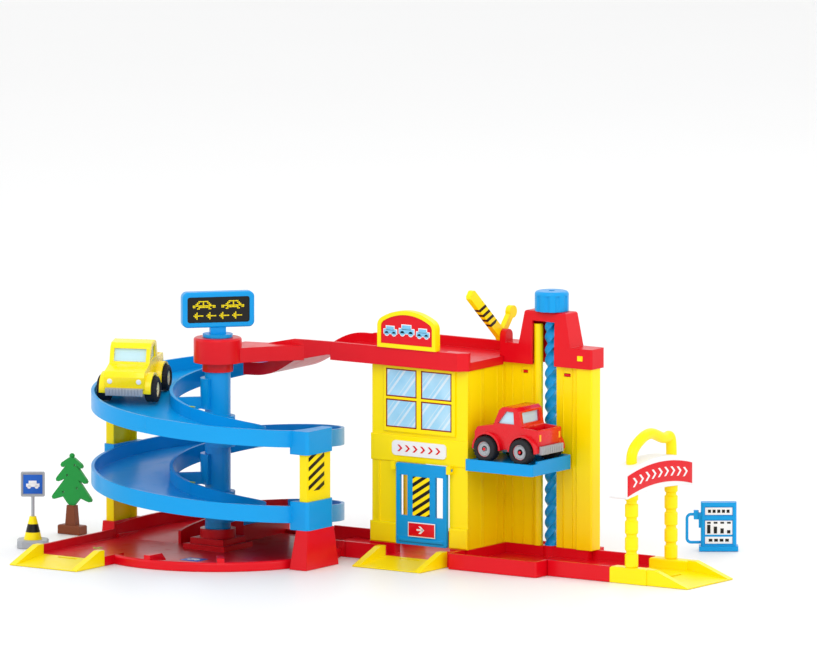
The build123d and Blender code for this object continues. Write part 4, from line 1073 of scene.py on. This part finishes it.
@dataclass
class Door:
    """Door flap: red plate with a white arrow under the striped panel.

    Attributes:
        plate: Ends of the plate along X and Z.
    """

    plate: tuple[float, float, float, float] = (225.0, 262.0, 31.0, 46.5)

    def build(self) -> None:
        """Make the plate and its arrow."""
        low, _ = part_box("door_flap")
        y = low.y / MM
        x0, x1, z0, z1 = self.plate
        rim = Bench.slab("door_plate_rim", (x0 - 1.2, y - 0.4, z0 - 1.2), (x1 + 1.2, y + 0.1, z1 + 1.2), 0.25)
        Bench.finish(rim, "print_white", "door", slot="white_plastic")
        plate = Bench.slab("door_plate", (x0, y - 0.7, z0), (x1, y, z1), 0.25)
        Bench.finish(plate, "print_red", "door", slot="red_plastic")
        mark = ArrowMark(9.0).build("door_arrow")
        place = spot((x0 + x1) / 2, y - 0.95, (z0 + z1) / 2)
        Bench.finish(Bench.move(mark, place), "print_white", "door", slot="white_plastic")


@dataclass
class Gate:
    """Gate over the right-hand ramp: arched red label with white chevrons.

    Attributes:
        face_x: Right face of the board.
        middle_y: Middle of the gate.
        wide: Width of the label.
        low_z: Lower edge of the label at its ends.
        tall: Height of the label.
        rise: Rise of its middle.
    """

    face_x: float = 554.0
    middle_y: float = 123.5
    wide: float = 139.0
    low_z: float = 107.5
    tall: float = 25.0
    rise: float = 9.0

    def arc(self, y: float) -> float:
        """Rise of the board at a distance from its middle, in millimetres."""
        return self.rise * (1.0 - (2.0 * y / self.wide) ** 2)

    def build(self) -> None:
        """Make the label and its chevrons."""
        half = self.wide / 2
        x0, x1 = self.face_x - 0.1, self.face_x + 0.5
        label = Bench.slab("gate_label", (x0, -half, 0.0), (x1, half, self.tall), 0.0)
        Bench.use(label)
        bpy.ops.object.mode_set(mode="EDIT")
        for step in range(1, 24):
            bpy.ops.mesh.select_all(action="SELECT")
            place = (0, (-half + self.wide * step / 24) * MM, 0)
            bpy.ops.mesh.bisect(plane_co=place, plane_no=(0, 1, 0))
        bpy.ops.object.mode_set(mode="OBJECT")
        for corner in label.data.vertices:
            corner.co.z += self.arc(corner.co.y / MM) * MM
        Bench.soften(Bench.move(label, spot(0, self.middle_y, self.low_z)), 0.25)
        Bench.finish(label, "print_red", slot="red_plastic")
        mark = ArrowMark(11.0, shaft=False).build("gate_chevrons")
        facing = Matrix.Rotation(math.radians(90), 4, "Z")
        row = []
        for step in (-54.0, -40.5, -27.0, -13.5, 0.0, 13.5, 27.0, 40.5, 54.0):
            z = self.low_z + self.tall / 2 + self.arc(step)
            row.append(spot(self.face_x + 0.8, self.middle_y + step, z) @ facing)
        Bench.finish(Bench.copies("gate_chevrons", mark, row), "print_white", slot="white_plastic")


@dataclass
class Truck:
    """One toy pickup: ribbed bumpers, lamps, treads and wheel caps.

    Attributes:
        name: Start of the names of its nodes and bodies.
        place: Where it stands, nose along +X of its own frame.
        rim_paint: Finish of the wheel caps.
        bolt_paint: Finish of the middle of the caps.
    """

    name: str
    place: Matrix
    rim_paint: str
    bolt_paint: str
    wheel_r: float = 15.0
    track: float = 74.0
    base: float = 51.0
    lugs: int = 22

    def build(self) -> None:
        """Make all pieces of the truck."""
        self.shell()
        self.bumpers()
        self.lamps()
        for axle, x in (("front", self.base / 2), ("rear", -self.base / 2)):
            self.treads(axle, x)
            self.caps(axle, x)

    def add(self, made: bpy.types.Object, paint: str, body: str, slot: str) -> None:
        """Move a piece from the truck's frame to its place and finish it."""
        Bench.finish(Bench.move(made, self.place), paint, body, slot)

    def shell(self) -> None:
        """Body shell with rounded edges, in place of the plain one."""
        colour = self.name.split("_")[0]
        shell = Bench.twin(f"{self.name}_body", f"{self.name}_shell", 0.9, 3)
        Bench.finish(shell, f"{colour}_body", self.name, f"{colour}_plastic", 40.0)

    def bumpers(self) -> None:
        """Ribs on both bumpers."""
        for end, x, low, high in (("front", 50.0, 12.6, 20.4), ("rear", -49.5, 12.6, 21.4)):
            out = 0.9 if x > 0 else -0.9
            x0, x1 = sorted((x - out * 0.2, x + out))
            rib = Bench.slab("rib", (x0, -1.2, low), (x1, 1.2, high), 0.35)
            places = [spot(0, step, 0) for step in (-19.5, -15.6, -11.7, -7.8, -3.9, 0.0, 3.9, 7.8, 11.7, 15.6, 19.5)]
            self.add(Bench.copies(f"{self.name}_{end}_ribs", rib, places), "bumper_grey", self.name, "grey_plastic")

    def lamps(self) -> None:
        """Round head lamps and upright tail lamps."""
        front = [Bench.disc("lamps", 3.2, 1.6, (45.9, side * 18.0, 29.0), Side.RIGHT, 28, 0.5) for side in (-1, 1)]
        self.add(Bench.unite(f"{self.name}_head_lamps", front), "lamp_white", self.name, "white_plastic")
        tail = [
            Bench.slab("lamps", (-45.7, side * 20.5 - 1.6, 28.0), (-44.8, side * 20.5 + 1.6, 36.0), 0.3)
            for side in (-1, 1)
        ]
        self.add(Bench.unite(f"{self.name}_tail_lamps", tail), "lamp_amber", self.name, "white_plastic")

    def treads(self, axle: str, x: float) -> None:
        """Two rows of slanted lugs on each tyre of an axle."""
        lug = Bench.slab("lug", (-1.1, -3.0, self.wheel_r - 0.5), (1.1, 3.0, self.wheel_r + 0.35), 0.2)
        lug = Bench.shear_top(lug, (0, 1, 0), 0.5, (0.9, 0, 0))
        places = []
        for side in (-1, 1):
            for row in (-1, 1):
                y = side * (self.track / 2 - 7.5) + row * 3.2
                for number in range(self.lugs):
                    angle = 360.0 * (number + (0.25 if row > 0 else 0.0)) / self.lugs
                    flip = Matrix.Scale(-1, 4, (0, 1, 0)) if row > 0 else Matrix.Identity(4)
                    places.append(spot(x, y, self.wheel_r) @ Matrix.Rotation(math.radians(angle), 4, "Y") @ flip)
        treads = Bench.copies(f"{self.name}_{axle}_treads", lug, places)
        Bench.use(treads)
        bpy.ops.object.mode_set(mode="EDIT")
        bpy.ops.mesh.select_all(action="SELECT")
        bpy.ops.mesh.normals_make_consistent(inside=False)
        bpy.ops.object.mode_set(mode="OBJECT")
        self.add(treads, "tyre_rubber", f"{self.name}_{axle}_wheels", "tyre_rubber")

    def caps(self, axle: str, x: float) -> None:
        """Stepped wheel caps with a coloured ring and middle."""
        discs, bolts = [], []
        for side, facing in ((-1, Side.FRONT), (1, Side.BACK)):
            y = side * (self.track / 2 - 1.6)
            cap = Bench.disc("cap", 7.3, 2.0, (x, y - side * 1.2, self.wheel_r), facing, 40)
            cap = Bench.sink(cap, facing, 1.2, 0.7)
            cap = self.step(cap, facing, 1.2, -0.5)
            cap = self.step(cap, facing, 1.2, 0.5)
            discs.append(Bench.soften(cap, 0.2))
            ring = Bench.disc("ring", 9.3, 0.8, (x, y - side * 0.5, self.wheel_r), facing, 40)
            ring = self.step(ring, facing, 1.3, 1.0)
            bolts.append(ring)
            bolts.append(Bench.disc("bolt", 1.9, 1.2, (x, y, self.wheel_r), facing, 24, 0.4))
        body = f"{self.name}_{axle}_wheels"
        self.add(Bench.unite(f"{self.name}_{axle}_caps", discs), self.rim_paint, body, "wheel_rim")
        self.add(Bench.unite(f"{self.name}_{axle}_bolts", bolts), self.bolt_paint, body, "wheel_rim")

    @staticmethod
    def step(made: bpy.types.Object, facing: Side, margin: float, depth: float) -> bpy.types.Object:
        """Inset the middle face on one side once more and move it.

        Args:
            made: The piece.
            facing: Side of the face.
            margin: Width of the new rim, in millimetres.
            depth: How far the middle goes in, or out if negative, in millimetres.

        Returns:
            The same piece.
        """
        way = Vector(facing.value)
        faces = [f for f in made.data.polygons if f.normal.dot(way) > 0.99]
        middle = min(faces, key=lambda f: f.area).index if len(faces) > 1 else faces[0].index
        biggest = max(faces, key=lambda f: len(f.vertices)).index if len(faces) > 1 else middle
        Bench.pick(made, lambda f: f.index == biggest)
        bpy.ops.mesh.inset(thickness=margin * MM, use_even_offset=True)
        bpy.ops.transform.translate(value=-way * depth * MM)
        bpy.ops.object.mode_set(mode="OBJECT")
        return made


@dataclass
class Roadside:
    """Loose cone sign and fuel pump: their printed plates and labels.

    Attributes:
        cone: Place of the cone sign.
        pump: Place of the pump.
    """

    cone: Matrix = field(default_factory=lambda: spot(-214.0, -82.0, 0.0, 35.0))
    pump: Matrix = field(default_factory=lambda: spot(485.0, 356.0, 0.0, 35.0))

    def build(self) -> None:
        """Make the plates and labels."""
        plate = Bench.slab("cone_sign_print", (-11.6, -1.7, 64.4), (11.6, -1.15, 87.6), 0.15)
        Bench.finish(Bench.move(plate, self.cone), "sign_blue", "cone_sign_body", "blue_plastic")
        mark = Bench.move(CarMark(16.0).build("cone_sign_car"), self.cone @ spot(0, -1.95, 75.8))
        Bench.finish(mark, "print_white", "cone_sign_body", "white_plastic")
        labels = [
            Bench.slab("pump_labels", (-16.4, -6.5, z0), (16.4, -5.7, z1), 0.25)
            for z0, z1 in ((44.0, 53.0), (20.0, 37.0), (9.0, 17.5))
        ]
        Bench.finish(Bench.move(Bench.unite("pump_labels", labels), self.pump), "print_white", "pump", "white_plastic")
        marks = [Bench.slab("m", (-13.0 + 5.6 * i, -6.8, 46.6), (-9.4 + 5.6 * i, -6.4, 50.4), 0.1) for i in range(5)]
        marks += [Bench.slab("m", (-14.0 + 8.0 * i, -6.8, 21.5), (-10.0 + 8.0 * i, -6.4, 25.5 + 2.2 * (3 - i)), 0.1) for i in range(4)]
        marks += [Bench.slab("m", (-14.0 + 8.0 * i, -6.8, 33.4), (-9.6 + 8.0 * i, -6.4, 35.6), 0.1) for i in range(4)]
        marks += [Bench.slab("m", (-12.0 + 6.6 * i, -6.8, 11.6), (-7.6 + 6.6 * i, -6.4, 15.0), 0.1) for i in range(4)]
        Bench.finish(Bench.move(Bench.unite("pump_marks", marks), self.pump), "print_black", "pump")


# ---------------------------------------------------------------- studio
@dataclass
class Studio:
    """Pale floor, soft lights and the camera.

    Attributes:
        azimuth: Turn of the view to the right of the building front, in degrees.
        elevation: Height of the view above level, in degrees.
        distance: Distance of the camera, in metres.
        scale: Pixels per millimetre in the photograph's frame.
        aim: Offset of the aim along the view's right and up, in metres.
        roll: Roll of the camera, in degrees.
    """

    azimuth: float = 34.2
    elevation: float = 8.0
    distance: float = 24.0
    scale: float = 0.833
    aim: tuple[float, float] = (0.2287, 0.2642)
    roll: float = 0.0

    def build(self) -> None:
        """Make the floor, the lights and the camera."""
        self.floor()
        self.light("key", (1.6, -2.6, 2.6), 2.2, 36.0)
        self.light("fill", (-2.6, -1.6, 1.6), 2.4, 14.0)
        self.light("side", (3.2, 0.2, 1.2), 1.6, 12.0)
        self.light("rim", (0.2, 2.8, 2.6), 2.4, 16.0)
        self.sky()
        self.camera()

    def floor(self) -> None:
        """Large pale floor."""
        Bench.clear()
        bpy.ops.mesh.primitive_plane_add(size=16.0, location=(0.2, 0.2, -0.0004))
        floor = bpy.context.object
        floor.name = "studio_floor"
        bpy.ops.object.transform_apply(location=True, rotation=True, scale=True)
        graph = Graph("floor_paper")
        cloud = graph.noise(1.2, 2.0)
        graph.feed(Base_Color=graph.blend(cloud, (0.90, 0.90, 0.90), (0.93, 0.93, 0.93)), Roughness=0.45)
        floor.data.materials.append(graph.material)

    def light(self, name: str, place: Point, size: float, power: float) -> None:
        """Soft square light that points at the middle of the toy.

        Args:
            name: Name of the light.
            place: Where it hangs, in metres.
            size: Length of its sides, in metres.
            power: Power, in watts.
        """
        Bench.clear()
        aim = Vector((0.2, 0.1, 0.12)) - Vector(place)
        turn = aim.to_track_quat("-Z", "Y").to_euler()
        bpy.ops.object.light_add(type="AREA", location=place, rotation=turn)
        lamp = bpy.context.object
        lamp.name = name
        lamp.data.size, lamp.data.energy = size, power

    def sky(self) -> None:
        """Even white surroundings."""
        world = bpy.data.worlds.new("studio_white")
        world.use_nodes = True
        back = world.node_tree.nodes["Background"]
        back.inputs["Color"].default_value = (1.0, 1.0, 1.0, 1.0)
        back.inputs["Strength"].default_value = 1.0
        bpy.context.scene.world = world
        bpy.context.scene.view_settings.view_transform = "Standard"
        bpy.context.scene.view_settings.look = "None"

    def camera(self) -> None:
        """Camera at the photograph's angle, far away with a long lens."""
        a, e = math.radians(self.azimuth), math.radians(self.elevation)
        right = Vector((math.cos(a), math.sin(a), 0.0))
        forward = Vector((-math.sin(a) * math.cos(e), math.cos(a) * math.cos(e), -math.sin(e)))
        up = right.cross(forward)
        target = right * self.aim[0] + up * self.aim[1]
        Bench.clear()
        bpy.ops.object.camera_add()
        camera = bpy.context.object
        turned = Matrix((right, up, -forward)).transposed().to_4x4() @ Matrix.Rotation(math.radians(self.roll), 4, "Z")
        camera.matrix_world = Matrix.Translation(target - forward * self.distance) @ turned
        camera.data.sensor_width = 36.0
        camera.data.lens = 36.0 * self.scale * 1000.0 * self.distance / 817.0
        camera.data.clip_end = 200.0
        bpy.context.scene.camera = camera


# ---------------------------------------------------------------- whole toy
@dataclass
class Toy:
    """The whole toy: finishes for the CAD nodes, then every piece that is added to them.

    Attributes:
        nodes: CAD nodes by name.
        special: Finishes of nodes that carry a print.
    """

    nodes: dict[str, bpy.types.Object]
    special: dict[str, str] = field(
        default_factory=lambda: {
            "door_panel": "door_stripes",
            "barrier_arm": "barrier_stripes",
            "cone_body": "cone_bands",
            "window_panes": "glazing",
            "exit_sign_panel": "sign_black",
            "arch_panel": "print_red",
            "cone_sign": "grey_plastic",
            "cone_base": "grey_plastic",
            "red_truck_windows": "truck_glass",
            "yellow_truck_windows": "truck_glass",
            "yellow_truck_front_rims": "rim_cream",
            "yellow_truck_rear_rims": "rim_cream",
            "tower_wall": "yellow_plastic",
        }
    )

    def paint(self) -> None:
        """Build every finish."""
        arm = math.radians(40.6)
        along = (0.0, -math.cos(arm), math.sin(arm))
        pivot = 165.0 * along[1] + 269.0 * along[2]
        cross = Vector((0.0, -0.4, 1.0)).normalized()
        finishes = [
            Finish("blue_plastic", Tone.BLUE),
            Finish("red_plastic", Tone.RED),
            Finish("yellow_plastic", Tone.YELLOW),
            Finish("white_plastic", Tone.WHITE),
            Finish("grey_plastic", Tone.GREY, gloss=0.4),
            Finish("bumper_grey", Tone.GREY, gloss=0.32, edge=0.4),
            Finish("green_plastic", Tone.GREEN, gloss=0.4),
            Finish("brown_plastic", Tone.BROWN, gloss=0.45),
            Finish("wheel_rim", Tone.GREY, gloss=0.35, edge=0.4),
            Finish("rim_cream", Tone.CREAM, gloss=0.35, edge=0.4),
            Finish("red_body", Tone.RED, gloss=0.25, clear=0.5, edge=0.5),
            Finish("yellow_body", Tone.YELLOW, gloss=0.25, clear=0.5, edge=0.5),
            Finish("print_white", Tone.WHITE, gloss=0.35, edge=0.2),
            Finish("print_red", Tone.RED, gloss=0.32, edge=0.2),
            Finish("print_sky", Tone.SKY, gloss=0.35, edge=0.2),
            Finish("print_black", Tone.BLACK, gloss=0.4, edge=0.2),
            Finish("print_lime", Tone.LIME, gloss=0.4, edge=0.2),
            Finish("frame_red", Tone.DARK_RED, gloss=0.35, edge=0.2),
            Finish("sign_blue", Tone.SIGN_BLUE, gloss=0.35, edge=0.3),
            Finish("sign_black", Tone.BLACK, gloss=0.4, edge=0.3),
            Finish("lit_dots", Tone.YELLOW, gloss=0.4, edge=0.15),
            Finish("lamp_white", Tone.WHITE, gloss=0.15, clear=0.8, edge=0.3),
            Finish("lamp_amber", Tone.AMBER, gloss=0.2, clear=0.6, edge=0.3),
            Finish("truck_glass", Tone.PALE_BLUE, gloss=0.12, clear=0.8, edge=0.3),
            Rubbery("tyre_rubber", Tone.RUBBER, gloss=0.62, clear=0.0, grain=0.35, edge=0.6),
            Glazing("glazing", Tone.SKY, gloss=0.18, clear=0.7, edge=0.2),
            Striped("door_stripes", Tone.YELLOW, edge=0.3, direction=(-0.62, 0.0, 1.0), period=8.6, share=0.48),
            Striped("pillar_stripes", Tone.YELLOW, edge=0.2, direction=(0.0, -0.45, 1.0), period=10.4, share=0.46,
                    start=4.0),
            Striped("barrier_stripes", Tone.YELLOW, edge=0.8, direction=tuple(cross), period=9.2, share=0.45,
                    window=along, window_ends=(pivot + 23.0, pivot + 63.0)),
            Striped("cone_bands", Tone.YELLOW, edge=0.6, period=40.0, share=0.25, start=23.0),
        ]
        for one in finishes:
            Bench.paints[one.name] = one.material()
        Bench.paints["steel"] = Metal("steel").material()
        for node, made in self.nodes.items():
            for number, held in enumerate(made.material_slots):
                plain = held.material.name.split(".")[0] if held.material else "grey_plastic"
                wanted = self.special.get(node, plain)
                if wanted not in Bench.paints:
                    LOG.warning("%s: no finish named %s", node, wanted)
                    wanted = "grey_plastic"
                made.material_slots[number].material = Bench.paints[wanted]
        LOG.info("finishes: %d on %d nodes", len(Bench.paints), len(self.nodes))

    def build(self) -> None:
        """Add every piece."""
        self.paint()
        slope = math.degrees(math.atan(91.2 / (2 * math.pi * 103.0)))
        turn = math.radians(200.0)
        down = spot(103.0 * math.cos(turn), 103.0 * math.sin(turn), 209.3 - 91.2 * 110.0 / 360.0 + 7.4, 290.0)
        red = Truck("red_truck", spot(359.0, 112.0, 129.3, 180.0), "wheel_rim", "red_body")
        yellow = Truck(
            "yellow_truck", down @ Matrix.Rotation(math.radians(slope), 4, "Y"), "rim_cream", "rim_cream"
        )
        for assembly in (Spiral(), House(), ExitSign(), Door(), Gate(), red, yellow, Roadside(), Studio()):
            LOG.info("building %s", type(assembly).__name__)
            assembly.build()


def main() -> None:
    """Load the frame and dress it."""
    logging.basicConfig(level=logging.INFO, format="%(name)s: %(message)s")
    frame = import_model()
    Bench.clear()
    Toy(frame["nodes"]).build()
    Bench.clear()
    bpy.context.view_layer.update()


if __name__ == "__main__":
    main()
